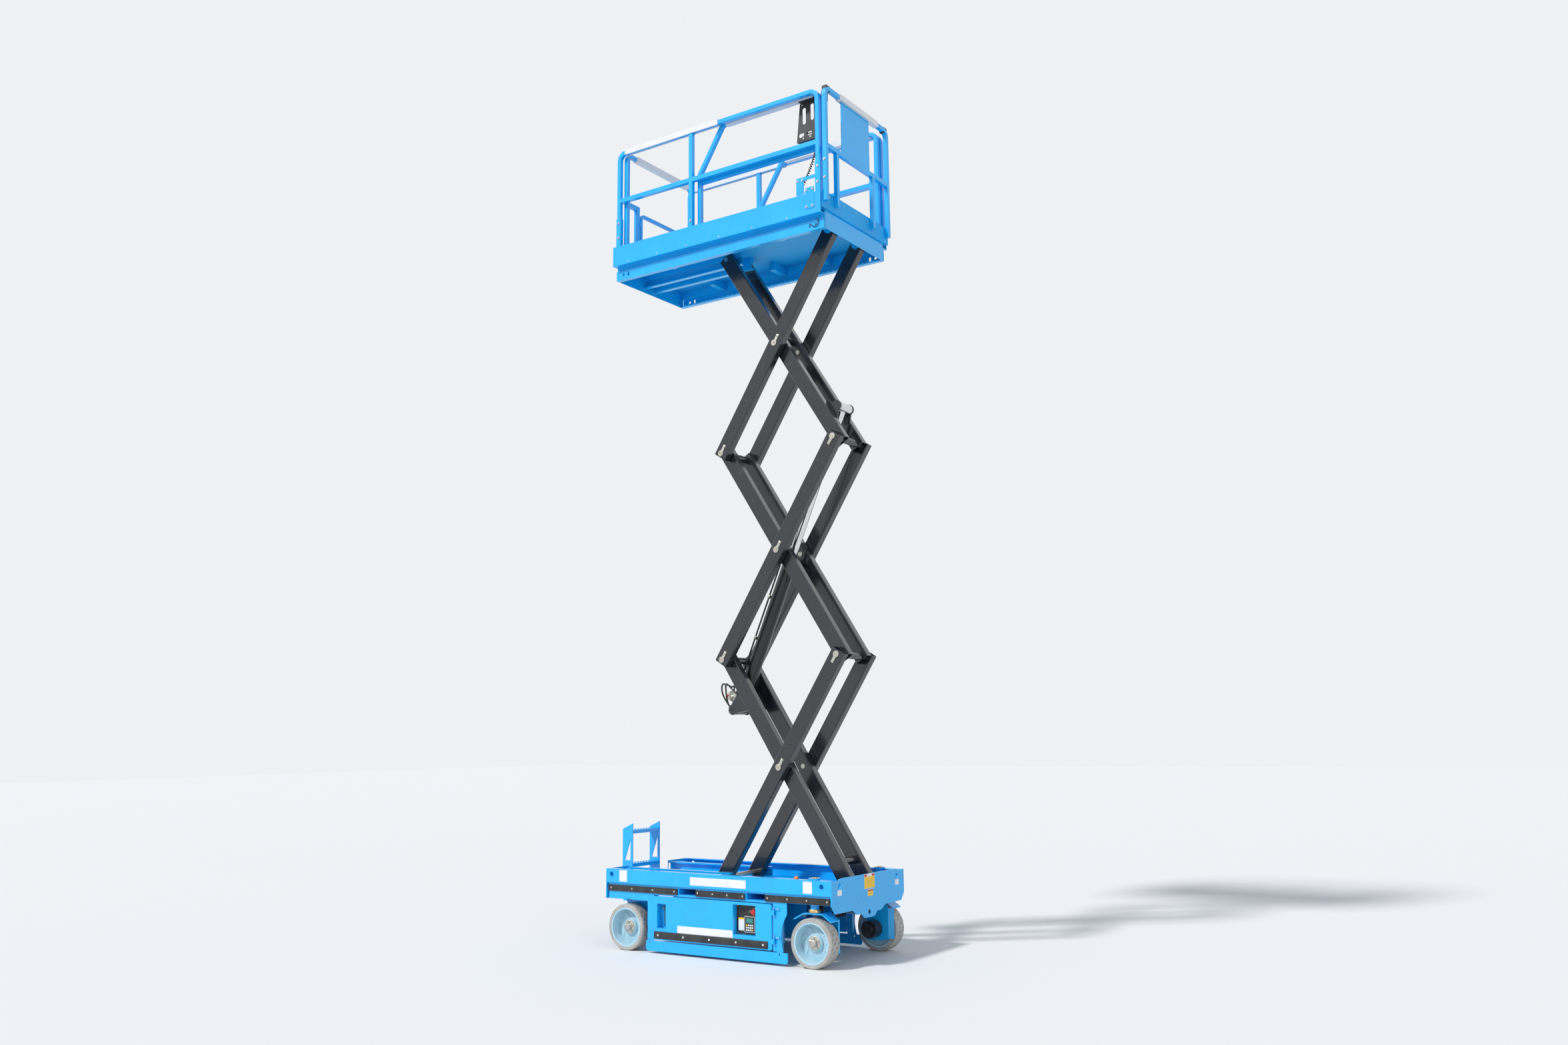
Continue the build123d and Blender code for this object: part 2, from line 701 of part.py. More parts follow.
# Cylinder brackets hang between the inner arms: stage, station, offset, pin hole
brackets = {1: (foot_station, foot_offset, True), 3: (head_station, head_offset, False)}
bracket_outer = inner_arm_y - arm_thickness / 2 + 1
bracket_inner = bracket_outer - bracket_plate
tube_stations = {1: (180.0, arm_reach), 2: (0.0, arm_reach), 3: (0.0, arm_reach - 940.0)}
for stage in range(1, stages + 1):
    with BuildPart() as inner_arms:
        arm_tubes("inner", stage, inner_arm_y, top_overhang if stage == stages else arm_overhang)
        for station in tube_stations[stage]:
            cross_tube("inner", stage, station, inner_arm_y)
        for station in (0.0, arm_reach / 2, arm_reach):
            x, z = arm_point("inner", stage, station)
            for side in (-1, 1):
                with Locations(across(x, side * inner_arm_y, z)):
                    Cylinder(boss_radius, arm_thickness)
        if stage in brackets:
            station, offset, bored = brackets[stage]
            eye = arm_point("inner", stage, station, offset)
            near_edge = arm_depth / 2 - 20 if offset > 0 else -arm_depth / 2 + 20
            roots = [arm_point("inner", stage, station + along, near_edge) for along in (-120, 120)]
            eye_edges = [arm_point("inner", stage, station + along, offset) for along in (40, -40)]
            for side in (-1, 1):
                with BuildSketch(Plane.XZ.offset(-side * (bracket_inner + bracket_plate / 2))):
                    with BuildLine():
                        Polyline(*roots, *eye_edges, close=True)
                    make_face()
                    with Locations(eye):
                        Circle(bracket_radius)
                extrude(amount=bracket_plate / 2, both=True)
            if bored:
                with Locations(across(eye[0], 0, eye[1])):
                    Cylinder(eye_pin_radius + pin_fit, 2 * bracket_outer + 2, mode=Mode.SUBTRACT)
        for station in (0.0, arm_reach / 2, arm_reach):
            x, z = arm_point("inner", stage, station)
            with Locations(across(x, 0, z)):
                Cylinder(pin_radius + pin_fit, 2 * outer_arm_y, mode=Mode.SUBTRACT)
    save(inner_arms.part, f"inner_arms_{stage}")
    with BuildPart() as outer_arms:
        arm_tubes("outer", stage, outer_arm_y, top_overhang if stage == stages else arm_overhang)
        for station in (0.0, arm_reach / 2, arm_reach):
            x, z = arm_point("outer", stage, station)
            for side in (-1, 1):
                with Locations(across(x, side * outer_arm_y, z)):
                    Cylinder(boss_radius, arm_thickness)
        for station in (0.0, arm_reach / 2, arm_reach):
            x, z = arm_point("outer", stage, station)
            with Locations(across(x, 0, z)):
                Cylinder(pin_radius + pin_fit, 3 * outer_arm_y, mode=Mode.SUBTRACT)
    save(outer_arms.part, f"outer_arms_{stage}")

# Pins, carried by the outer arms: centre stubs and full-width end shafts
pin_reach = outer_arm_y + arm_thickness / 2
stub_inner = inner_arm_y - arm_thickness / 2 - 6
for stage in range(1, stages + 1):
    with BuildPart() as pins:
        x, z = arm_point("outer", stage, arm_reach / 2)
        for side in (-1, 1):
            with Locations(across(x, side * (stub_inner + pin_reach) / 2, z)):
                Cylinder(pin_radius, pin_reach - stub_inner)
            with Locations(across(x, side * (pin_reach + pin_head / 2), z)):
                Cylinder(pin_head_radius, pin_head)
        ends = [arm_reach] if stage == 1 else [0.0, arm_reach]
        if stage == stages:
            ends = [0.0]
        for station in ends:
            x, z = arm_point("outer", stage, station)
            with Locations(across(x, 0, z)):
                Cylinder(pin_radius, 2 * pin_reach)
            for side in (-1, 1):
                with Locations(across(x, side * (pin_reach + pin_head / 2), z)):
                    Cylinder(pin_head_radius, pin_head)
    save(pins.part, f"pins_{stage}")

# Slide blocks: lower ones on the outer arms, upper ones on the inner arms
roller_width = track_depth - track_sheet - 4
with BuildPart() as lower_rollers:
    with Locations(across(slide_x, 0, pivot_z)):
        Cylinder(pin_radius, 2 * (track_y + 10))
    for side in (-1, 1):
        with Locations(across(slide_x, side * (track_y + 8 + roller_width / 2), pivot_z)):
            Cylinder(roller_radius, roller_width)
save(lower_rollers.part, "lower_rollers")
top_track_y = inner_arm_y - arm_thickness / 2 - 6 - track_depth / 2
with BuildPart() as upper_rollers:
    for side in (-1, 1):
        with Locations(across(slide_x, side * (inner_arm_y - 8), top_pivot_z)):
            Cylinder(pin_radius, arm_thickness + 16)
        with Locations(across(slide_x, side * (top_track_y + track_depth / 2 - 2 - roller_width / 2), top_pivot_z)):
            Cylinder(roller_radius, roller_width)
save(upper_rollers.part, "upper_rollers")

# Lift cylinder
foot_x, foot_z = arm_point("inner", 1, foot_station, foot_offset)
head_x, head_z = arm_point("inner", 3, head_station, head_offset)
cylinder_length = hypot(head_x - foot_x, head_z - foot_z)
rod_length = cylinder_length - barrel_length + rod_overlap
cylinder_dir = ((head_x - foot_x) / cylinder_length, 0, (head_z - foot_z) / cylinder_length)
cylinder_base = Plane(origin=(foot_x, 0, foot_z), x_dir=(0, 1, 0), z_dir=cylinder_dir)
eye_half_width = bracket_inner - bracket_gap
barrel_start = 30.0
bore_start = 100.0


def along_cylinder(distance):
    return cylinder_base.offset(distance)


with BuildPart() as lift_barrel:
    with Locations(across(foot_x, 0, foot_z)):
        Cylinder(eye_radius, 2 * (barrel_radius + 8))
        Cylinder(eye_pin_radius, 2 * (bracket_outer - 1))
    with BuildSketch(along_cylinder(barrel_start)):
        Circle(barrel_radius)
    extrude(amount=barrel_length - barrel_start)
    with BuildSketch(along_cylinder(barrel_length - 60)):
        Circle(barrel_radius + 6)
    extrude(amount=60)
    with BuildSketch(along_cylinder(bore_start)):
        Circle(rod_radius + pin_fit)
    extrude(amount=barrel_length, mode=Mode.SUBTRACT)
save(lift_barrel.part, "lift_barrel")
with BuildPart() as lift_rod:
    with Locations(across(head_x, 0, head_z)):
        Cylinder(eye_radius, 2 * eye_half_width)
    with BuildSketch(along_cylinder(cylinder_length - rod_length)):
        Circle(rod_radius)
    extrude(amount=rod_length - eye_radius + 8)
save(lift_rod.part, "lift_rod")

# Platform frame: side channels, ends, side beams, upper tracks and lugs
web_inset = 14.0
beam_inner = outer_arm_y + arm_thickness / 2 + 8
with BuildPart() as platform_frame:
    for side in (-1, 1):
        with BuildSketch(Plane.YZ.offset(deck_rear)) as channel:
            with BuildLine():
                Polyline(
                    (side * (frame_half_width - 45), frame_bottom),
                    (side * frame_half_width, frame_bottom),
                    (side * frame_half_width, board_bottom - groove_height),
                    (side * (frame_half_width - web_inset), board_bottom - groove_height + 12),
                    (side * (frame_half_width - web_inset), deck_underside),
                    (side * (frame_half_width - web_inset - frame_sheet), deck_underside),
                    (side * (frame_half_width - web_inset - frame_sheet), board_bottom - groove_height + 8),
                    (side * (frame_half_width - frame_sheet), board_bottom - groove_height - 4),
                    (side * (frame_half_width - frame_sheet), frame_bottom + frame_sheet),
                    (side * (frame_half_width - 45), frame_bottom + frame_sheet),
                    close=True,
                )
            make_face()
        extrude(amount=deck_front - deck_rear)
        beam_y = side * (beam_inner + frame_half_width - web_inset - frame_sheet + 1) / 2
        beam_width = frame_half_width - web_inset - frame_sheet + 1 - beam_inner
        for x in (-640, 60, 560):
            with Locations((x, beam_y, deck_underside - 40)):
                Box(50, beam_width, 80)
    # hole and slot near each corner of the side channels
    for end, inward in ((deck_rear, 1), (deck_front, -1)):
        for side in (-1, 1):
            with Locations(across(end + inward * 84, side * frame_half_width, frame_bottom + 48)):
                Cylinder(12, 4 * frame_sheet, mode=Mode.SUBTRACT)
            with BuildSketch(Plane.XZ.offset(-side * (frame_half_width + 1))):
                with Locations((end + inward * 142, frame_bottom + 46)):
                    SlotOverall(44, 20, rotation=90)
            extrude(amount=side * 4 * frame_sheet, mode=Mode.SUBTRACT)
    for x in (deck_rear + frame_sheet / 2, deck_front - frame_sheet / 2):
        with Locations((x, 0, (frame_bottom + deck_underside) / 2)):
            Box(frame_sheet, 2 * (frame_half_width - web_inset), deck_underside - frame_bottom)
    top_track_front = slide_x + 110
    for side in (-1, 1):
        track_length = top_track_front - deck_rear
        with Locations(((deck_rear + top_track_front) / 2, side * top_track_y,
                        (top_pivot_z - track_height / 2 + deck_underside) / 2)):
            Box(track_length, track_depth, deck_underside - top_pivot_z + track_height / 2)
        with Locations(((deck_rear + top_track_front) / 2 + frame_sheet,
                        side * (top_track_y + track_sheet / 2), top_pivot_z)):
            Box(track_length, track_depth - track_sheet, slot_height, mode=Mode.SUBTRACT)
        for y in (outer_arm_y + arm_thickness / 2 + 12, outer_arm_y - arm_thickness / 2 - 12):
            with BuildSketch(Plane.XZ.offset(-side * y)) as lug:
                with BuildLine():
                    Polyline(
                        (pivot_x - 70, deck_underside),
                        (deck_front - frame_sheet / 2, deck_underside),
                        (deck_front - frame_sheet / 2, top_pivot_z + 20),
                        (pivot_x + 42, top_pivot_z),
                        (pivot_x - 42, top_pivot_z),
                        close=True,
                    )
                make_face()
                with Locations((pivot_x, top_pivot_z)):
                    Circle(42)
            extrude(amount=6, both=True)
        with Locations(across(pivot_x, side * outer_arm_y, top_pivot_z)):
            Cylinder(pin_radius, arm_thickness + 60)
save(platform_frame.part, "platform_frame")

with BuildPart() as platform_deck:
    with Locations(((deck_front + deck_rear + board_sheet) / 2, 0, deck_underside + deck_sheet / 2)):
        Box(deck_front - deck_rear - board_sheet, 2 * (board_half_width - board_sheet), deck_sheet)
save(platform_deck.part, "platform_deck")

with BuildPart() as toe_boards:
    for side in (-1, 1):
        with Locations(((deck_front + deck_rear) / 2, side * (board_half_width - board_sheet / 2),
                        board_bottom + board_height / 2)):
            Box(deck_front - deck_rear, board_sheet, board_height)
        lip = board_half_width - (frame_half_width - web_inset)
        with Locations(((deck_front + deck_rear) / 2, side * (board_half_width - lip / 2),
                        board_bottom + board_sheet / 2)):
            Box(deck_front - deck_rear, lip, board_sheet)
    with Locations((1016, -board_half_width - board_sheet / 2, board_bottom + 144)):
        Box(90, board_sheet, 188)
    with Locations((deck_rear + board_sheet / 2, 0, (deck_underside + board_bottom + board_height) / 2)):
        Box(board_sheet, 2 * (board_half_width - board_sheet / 2), board_bottom + board_height - deck_underside)
save(toe_boards.part, "toe_boards")


# Guard rails
def tube_path(points, radius, size):
    """A bent square tube through the points, whose first run is vertical."""
    with BuildLine() as path:
        FilletPolyline(*points, radius=radius)
    start = points[0]
    with BuildSketch(Plane(origin=start, x_dir=(1, 0, 0), z_dir=(0, 0, 1))) as section:
        RectangleRounded(size, size, 6)
    sweep(section.sketch, path=path.line)


post_foot = deck_top
rail_half = rail_tube / 2
main_front = deck_front - rail_half - 9
main_rear = rear_post_x
socket_width = 50.0
socket_height = 420.0
with BuildPart() as main_rails:
    for side in (-1, 1):
        y = side * main_rail_y
        tube_path(
            (
                (main_rear, y, post_foot),
                (main_rear, y, top_rail_z),
                (main_front, y, top_rail_z),
                (main_front, y, post_foot),
            ),
            rail_bend,
            rail_tube,
        )
        with Locations((mid_post_x, y, (post_foot + top_rail_z) / 2)):
            Box(rail_tube - 2, rail_tube - 2, top_rail_z - post_foot)
        with Locations(((main_front + main_rear) / 2, y, mid_rail_z)):
            Box(main_front - main_rear, rail_tube - 2, rail_tube)
        for x in (main_rear, main_front):
            with Locations((x, y, post_foot + socket_height / 2)):
                Box(socket_width, rail_tube, socket_height)
save(main_rails.part, "main_rails")

# White sleeves on the main side rails and the rear rail
rear_post_y = main_rail_y - 46
sleeve_size = rail_tube + 2 * sleeve_wall
with BuildPart() as rail_sleeves:
    for name, side in sides:
        y = side * main_rail_y
        start, end = main_rear + rail_bend + 4, sleeve_end
        with Locations(((start + end) / 2, y, top_rail_z)):
            Box(end - start, rail_tube + 2 * sleeve_wall, rail_tube + 2 * sleeve_wall)
            Box(end - start, rail_tube + 0.2, rail_tube + 0.2, mode=Mode.SUBTRACT)
            with Locations((0, 0, -(rail_tube + sleeve_wall) / 2)):
                Box(end - start, rail_tube - 10, sleeve_wall + 1, mode=Mode.SUBTRACT)
        with Locations((mid_post_x, y, top_rail_z - rail_half - 2)):
            Box(rail_tube + 4, rail_tube + 4, 12, mode=Mode.SUBTRACT)
    with Locations((main_rear + 46, 25, top_rail_z)):
        Box(sleeve_size, 790, sleeve_size)
        Box(rail_tube + 0.2, 790, rail_tube + 0.2, mode=Mode.SUBTRACT)
save(rail_sleeves.part, "rail_sleeves")

# Rear end rail with the fixed half beside the entry gate
gate_hinge_y = -300.0
gate_free_y = 300.0
gate_top = deck_underside + 529
gate_tube = 32.0
gate_axis = (main_rear + 46 + 22, gate_hinge_y - 11.5)
gate_knuckle = 8.0
gate_pin = 5.0
gate_hinge_heights = (deck_underside + 177, deck_underside + 437)
with BuildPart() as rear_rail:
    tube_path(
        (
            (main_rear + 46, -rear_post_y, post_foot),
            (main_rear + 46, -rear_post_y, top_rail_z),
            (main_rear + 46, rear_post_y, top_rail_z),
            (main_rear + 46, rear_post_y, post_foot),
        ),
        60,
        rail_tube,
    )
    for y in (gate_hinge_y - 40, gate_free_y + 60):
        with Locations((main_rear + 46, y, (post_foot + mid_rail_z) / 2)):
            Box(rail_tube - 2, rail_tube - 2, mid_rail_z - post_foot)
    for z in gate_hinge_heights:
        with Locations((gate_axis[0], gate_axis[1], z - 20)):
            Cylinder(gate_knuckle, 20)
        with Locations((gate_axis[0], gate_axis[1], z - 5)):
            Cylinder(gate_pin, 50)
        with Locations((gate_axis[0] - 2, gate_axis[1] - 6, z - 20)):
            Box(12, 12, 20)
    for y, end in ((gate_hinge_y - 40 - rail_half, -rear_post_y), (gate_free_y + 60 + rail_half, rear_post_y)):
        with Locations((main_rear + 46, (y + end) / 2, mid_rail_z - rail_half)):
            Box(rail_tube - 2, abs(end - y) + 20, rail_tube)
save(rear_rail.part, "rear_rail")

# Entry gate, hinged on the near post and swinging inwards
with BuildPart() as entry_gate:
    tube_path(
        (
            (main_rear + 46, gate_hinge_y + 14, post_foot + 60),
            (main_rear + 46, gate_hinge_y + 14, gate_top),
            (main_rear + 46, gate_free_y, gate_top),
            (main_rear + 46, gate_free_y, post_foot + 60),
        ),
        45,
        gate_tube,
    )
    with Locations((main_rear + 46, (gate_hinge_y + gate_free_y) / 2, post_foot + 190)):
        Box(gate_tube - 6, gate_free_y - gate_hinge_y - 20, gate_tube)
    for z in gate_hinge_heights:
        with Locations((gate_axis[0], gate_axis[1], z + 0.3)):
            Cylinder(gate_knuckle, 20)
        with Locations((gate_axis[0] - 6, gate_axis[1] + 9, z + 0.3)):
            Box(14, 14, 20)
        with Locations((gate_axis[0], gate_axis[1], z)):
            Cylinder(gate_pin + pin_fit, 24, mode=Mode.SUBTRACT)
save(entry_gate.part, "entry_gate")

# Extension: sliding deck with its front toe plate, side rails and front rail
slide_rail_y = main_rail_y - 58
extension_front = front_post_x - rail_half
extension_top = deck_top + slide_gap + extension_sheet
with BuildPart() as extension_deck:
    with Locations(((extension_front + extension_rear) / 2, 0, deck_top + slide_gap + extension_sheet / 2)):
        Box(extension_front - extension_rear, 2 * (slide_rail_y + rail_half + extension_sheet), extension_sheet)
    toe_top = board_bottom + board_height + 8
    with Locations((extension_front - board_sheet / 2, 0, (deck_top + slide_gap + toe_top) / 2)):
        Box(board_sheet, 2 * board_half_width, toe_top - deck_top - slide_gap)
    for side in (-1, 1):
        with Locations(((extension_front + extension_rear) / 2, side * (slide_rail_y + rail_half + extension_sheet),
                        deck_top + slide_gap + 60)):
            Box(extension_front - extension_rear, extension_sheet, 120)
save(extension_deck.part, "extension_deck")

bracket_x = 880.0
bracket_z = deck_underside + 245
bracket_width = 76.0
bracket_height = 190.0
brace_foot = (extension_rear + 30, deck_underside + brace_height)
elbow = (extension_rear + 290, top_rail_z)
with BuildPart() as extension_rails:
    for side in (-1, 1):
        y = side * slide_rail_y
        tube_path(
            (
                (brace_foot[0], y, extension_top),
                (brace_foot[0], y, brace_foot[1]),
                (elbow[0], y, elbow[1]),
                (extension_front - 50, y, top_rail_z),
                (extension_front - 50, y, extension_top),
            ),
            60,
            rail_tube,
        )
        with Locations(((brace_foot[0] + extension_front - 50) / 2, y, mid_rail_z - 20)):
            Box(extension_front - 50 - brace_foot[0], rail_tube - 2, rail_tube)
    # cable bracket on the near front post
    post_x = extension_front - 50
    bracket_y = -slide_rail_y
    with Locations((bracket_x, bracket_y - rail_half + board_sheet / 2, bracket_z)):
        Box(bracket_width, board_sheet, bracket_height)
    for z in (bracket_z + bracket_height / 2 - 16, bracket_z - bracket_height / 2 + 16):
        with Locations(((bracket_x + post_x) / 2, bracket_y - rail_half + board_sheet / 2, z)):
            Box(post_x - bracket_x, board_sheet, 32)
save(extension_rails.part, "extension_rails")

with BuildPart() as front_rail:
    tube_path(
        (
            (front_post_x, -front_post_y, deck_top + 60),
            (front_post_x, -front_post_y, top_rail_z + 12),
            (front_post_x, front_post_y, top_rail_z + 12),
            (front_post_x, front_post_y, deck_top + 60),
        ),
        60,
        rail_tube,
    )
    with Locations((front_post_x, 0, mid_rail_z - 40)):
        Box(rail_tube - 2, 2 * front_post_y, rail_tube)
    for y in (-347, 253):
        with Locations((front_post_x, y, (deck_top + 60 + mid_rail_z - 40) / 2)):
            Box(rail_tube - 4, rail_tube - 4, mid_rail_z - 40 - deck_top - 60)
    with Locations((front_post_x, -22, (mid_rail_z + top_rail_z) / 2 - 14)):
        Box(6, 470, top_rail_z - mid_rail_z + 15)
save(front_rail.part, "front_rail")

# Steering: cross cylinder on the front cross member and the rod between the knuckles
steer_x = axle_x - 180
steer_z = 325.0
with BuildPart() as steer_cylinder:
    with Locations(across(steer_x, 0, steer_z)):
        Cylinder(30, 420)
        Cylinder(15.1, 440, mode=Mode.SUBTRACT)
    for y in (-150, 150):
        with Locations((steer_x, y, (steer_z - 15 + floor_top - floor_sheet) / 2)):
            Box(70, 14, floor_top - floor_sheet - steer_z + 15)
        with Locations(across(steer_x, y, steer_z)):
            Cylinder(15.1, 40, mode=Mode.SUBTRACT)
save(steer_cylinder.part, "steer_cylinder")
with BuildPart() as steer_rod:
    with Locations(across(steer_x, 0, steer_z)):
        Cylinder(15, 700)
save(steer_rod.part, "steer_rod")

# Low domed beacon on the near side rail, and the platform's control holder
beacon_radius = 18.0
beacon_skirt = 6.0
with BuildPart() as beacon:
    with BuildSketch(Plane.XZ) as dome:
        with BuildLine():
            Line((0, 0), (beacon_radius, 0))
            Line((beacon_radius, 0), (beacon_radius, beacon_skirt))
            CenterArc((0, beacon_skirt), beacon_radius, 0, 90)
            Line((0, beacon_skirt + beacon_radius), (0, 0))
        make_face()
    revolve(axis=Axis.Z)
beacon_part = beacon.part.moved(Location((780, -530, rail_top)))
save(beacon_part, "beacon")
holder_x = 962.0
holder_width = 210.0
holder_flare = 35.0
holder_depth = 88.0
holder_sheet = 4.0
hanger_width = 52.0
hanger_length = 160.0
holder_top = top_rail_z - rail_half - sleeve_wall
holder_bottom = top_rail_z - 372
gland_x = 836.0
gland_y = 23 - slide_rail_y
gland_radius = 14.0
gland_top = deck_underside + 173
holder_face = -slide_rail_y + rail_half + sleeve_wall + 6
with BuildPart() as control_holder:
    face = BuildSketch(Plane.XZ.offset(-holder_face))
    with face:
        with BuildLine():
            Polyline(
                (holder_x - holder_width / 2, holder_top),
                (holder_x + holder_width / 2, holder_top),
                (holder_x + holder_width / 2, holder_bottom),
                (holder_x - holder_width / 2 - holder_flare, holder_bottom),
                close=True,
            )
        make_face()
        with Locations((holder_x - 62, holder_top - 120), (holder_x + 20, holder_top - 100)):
            SlotOverall(150, 34, rotation=90, mode=Mode.SUBTRACT)
        with Locations(*((holder_x + step, holder_bottom + 58) for step in (-90, -10, 70))):
            SlotOverall(56, 36, mode=Mode.SUBTRACT)
    extrude(amount=-holder_sheet)
    with BuildSketch(Plane.XY.offset(holder_bottom)):
        with BuildLine():
            Polyline(
                (holder_x - holder_width / 2 - holder_flare, holder_face),
                (holder_x + holder_width / 2, holder_face),
                (holder_x + holder_width / 2, holder_face + holder_depth),
                (holder_x - holder_width / 2, holder_face + holder_depth),
                close=True,
            )
        make_face()
    extrude(amount=holder_sheet)
    with Locations((holder_x + holder_width / 2 - holder_sheet / 2, holder_face + holder_depth / 2,
                    (holder_top + holder_bottom) / 2 - 50)):
        Box(holder_sheet, holder_depth, holder_top - holder_bottom - 100)
    # hanger under the sleeved rail, and the cord's gland on the extension deck
    with Locations((holder_x - 10, holder_face + holder_sheet - hanger_width / 2, holder_top - holder_sheet / 2)):
        Box(hanger_length, hanger_width, holder_sheet)
    with Locations((gland_x, gland_y, (extension_top + gland_top) / 2)):
        Cylinder(gland_radius, gland_top - extension_top)
save(control_holder.part, "control_holder")

# Curly control cord, as one fat tube from under the holder to its gland
cord_radius = 11.0
cord_drop = holder_bottom - gland_top
cord_route = (
    # x, distance in from the slide rail, share of the drop
    (1004.0, 70.0, 0.0),
    (1000.0, 68.0, 0.105),
    (978.0, 60.0, 0.3),
    (935.0, 48.0, 0.53),
    (884.0, 35.0, 0.74),
    (846.0, 25.0, 0.905),
    (gland_x, 23.0, 1.0),
)
cord_points = [Vector(x, inset - slide_rail_y, holder_bottom - share * cord_drop) for x, inset, share in cord_route]
cord_bends = []
for before, corner, after in zip(cord_points, cord_points[1:], cord_points[2:]):
    shorter = min((corner - before).length, (after - corner).length)
    turn = radians((corner - before).get_angle(after - corner))
    cord_bends.append(0.45 * shorter / tan(turn / 2))
print("cord bend radii", [round(bend) for bend in cord_bends])
with BuildPart() as control_cord:
    with BuildLine() as cord_line:
        FilletPolyline(*cord_points, radius=cord_bends)
    with BuildSketch(Plane(origin=cord_points[0], z_dir=cord_points[1] - cord_points[0])):
        Circle(cord_radius)
    sweep()
    # square ends, flat against the holder and the gland
    split(bisect_by=Plane.XY.offset(holder_bottom), keep=Keep.BOTTOM)
    split(bisect_by=Plane.XY.offset(gland_top), keep=Keep.TOP)
save(control_cord.part, "control_cord")
with BuildPart() as foot_latch:
    with Locations((mid_post_x + 90, -400, extension_top + 25)):
        Box(120, 60, 50)
save(foot_latch.part, "foot_latch")

# White sleeves on the extension's and the ends' top rails
with BuildPart() as extension_sleeves:
    start, end = elbow[0] + 40, extension_front - 50 - 64
    for side in (-1, 1):
        with Locations(((start + end) / 2, side * slide_rail_y, top_rail_z)):
            Box(end - start, sleeve_size, sleeve_size)
            Box(end - start, rail_tube + 0.2, rail_tube + 0.2, mode=Mode.SUBTRACT)
    with Locations((front_post_x, 20, top_rail_z + 12)):
        Box(sleeve_size, 655, sleeve_size)
        Box(rail_tube + 0.2, 655, rail_tube + 0.2, mode=Mode.SUBTRACT)
    with Locations((front_post_x, -22, top_rail_z + 12 - sleeve_size / 2)):
        Box(8, 480, 20, mode=Mode.SUBTRACT)
save(extension_sleeves.part, "extension_sleeves")
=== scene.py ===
"""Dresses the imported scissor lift: paint, tyres, fittings, hoses and the studio around it."""

import json
import math

import bmesh
import bpy
from mathutils import Matrix, Vector


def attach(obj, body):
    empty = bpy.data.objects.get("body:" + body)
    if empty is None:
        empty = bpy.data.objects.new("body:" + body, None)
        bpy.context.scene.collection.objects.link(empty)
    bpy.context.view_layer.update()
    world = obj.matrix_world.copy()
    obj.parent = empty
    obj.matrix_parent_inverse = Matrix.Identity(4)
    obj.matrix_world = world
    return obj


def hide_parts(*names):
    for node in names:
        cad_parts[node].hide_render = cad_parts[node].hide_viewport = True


bl_info = {
    "name": "Scissor Lift Dressing",
    "version": (1, 0, 0),
    "blender": (4, 5, 0),
    "location": "View3D > Sidebar > Lift",
    "description": "Finishes and fittings for a self-propelled scissor lift",
    "category": "Object",
}

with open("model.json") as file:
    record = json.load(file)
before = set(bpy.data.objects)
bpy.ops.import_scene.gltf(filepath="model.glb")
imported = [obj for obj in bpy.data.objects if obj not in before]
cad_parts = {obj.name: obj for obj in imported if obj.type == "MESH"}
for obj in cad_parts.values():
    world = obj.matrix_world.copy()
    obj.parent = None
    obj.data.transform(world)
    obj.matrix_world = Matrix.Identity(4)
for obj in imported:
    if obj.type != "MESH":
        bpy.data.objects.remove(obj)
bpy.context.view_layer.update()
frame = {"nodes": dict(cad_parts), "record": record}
NODES = frame["nodes"]

# In metres: how far the middle of the wheelbase lies ahead of the origin, and the wheels about that middle
SHIFT = 0.0585
AXLE_X = 0.934
WHEEL_Y = 0.5075
TYRE_RADIUS = 0.1905
TYRE_WIDTH = 0.127
WHEELS = (
    # name, station, side
    ("front_right", AXLE_X, -1),
    ("front_left", AXLE_X, 1),
    ("rear_right", -AXLE_X, -1),
    ("rear_left", -AXLE_X, 1),
)

# Places and sizes in millimetres from the middle of the wheelbase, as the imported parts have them
MM = 0.001
SIDES = (("right", -1), ("left", 1))
HALF_WIDTH = 571
FRONT_FACE = 1128
STRIPS = ((-1129, -381), (-187, 306), (505, 1110))
TIE_DOWNS = (-1094, 1037)
HINGE_X = 592
HINGE_HEIGHTS = (183, 400)
STEP_HEIGHTS = (945, 655, 365)
LATCH = (-545, 306)
PANEL = (303, 327)
PANEL_Y = 50 - HALF_WIDTH
STAGES = 3
ARM_REACH = 2149
RISE_ANGLE = 57.5
PIVOT_X = 1020
PIVOT_Z = 614
ARM_THICKNESS = 75
INNER_Y = 144.5
OUTER_Y = INNER_Y + ARM_THICKNESS + 8
PIN_FACE = 273
BARREL_RADIUS = 60
BARREL_LENGTH = 1395
PIPE_OFFSET = -(BARREL_RADIUS + 16)
STAGE_RISE = ARM_REACH * math.sin(math.radians(RISE_ANGLE))
STAGE_RUN = ARM_REACH * math.cos(math.radians(RISE_ANGLE))
SLIDE_X = PIVOT_X - STAGE_RUN
PIVOT_OVER_FRAME = 86.3
FRAME_BOTTOM = PIVOT_Z + STAGES * STAGE_RISE - PIVOT_OVER_FRAME
BOARD_BOTTOM = FRAME_BOTTOM + 123
DECK_UNDER = FRAME_BOTTOM + 158
DECK_TOP = DECK_UNDER + 4
TOP_RAIL = DECK_UNDER + 1062
DECK_FRONT = 1123
DECK_REAR = -1160
MAIN_REAR = -1101
MAIN_FRONT = 1094
MID_POST = -255
FRONT_POST = 1158
SLIDE_RAIL_Y = 472
HOLDER_X = 962
HOLDER_LOW = TOP_RAIL - 372
GLAND_TOP = DECK_UNDER + 173
CORD_ROUTE = (
    # station, distance in from the slide rail, share of the drop
    (1004, 70, 0.0),
    (1000, 68, 0.105),
    (978, 60, 0.3),
    (935, 48, 0.53),
    (884, 35, 0.74),
    (846, 25, 0.905),
    (836, 23, 1.0),
)

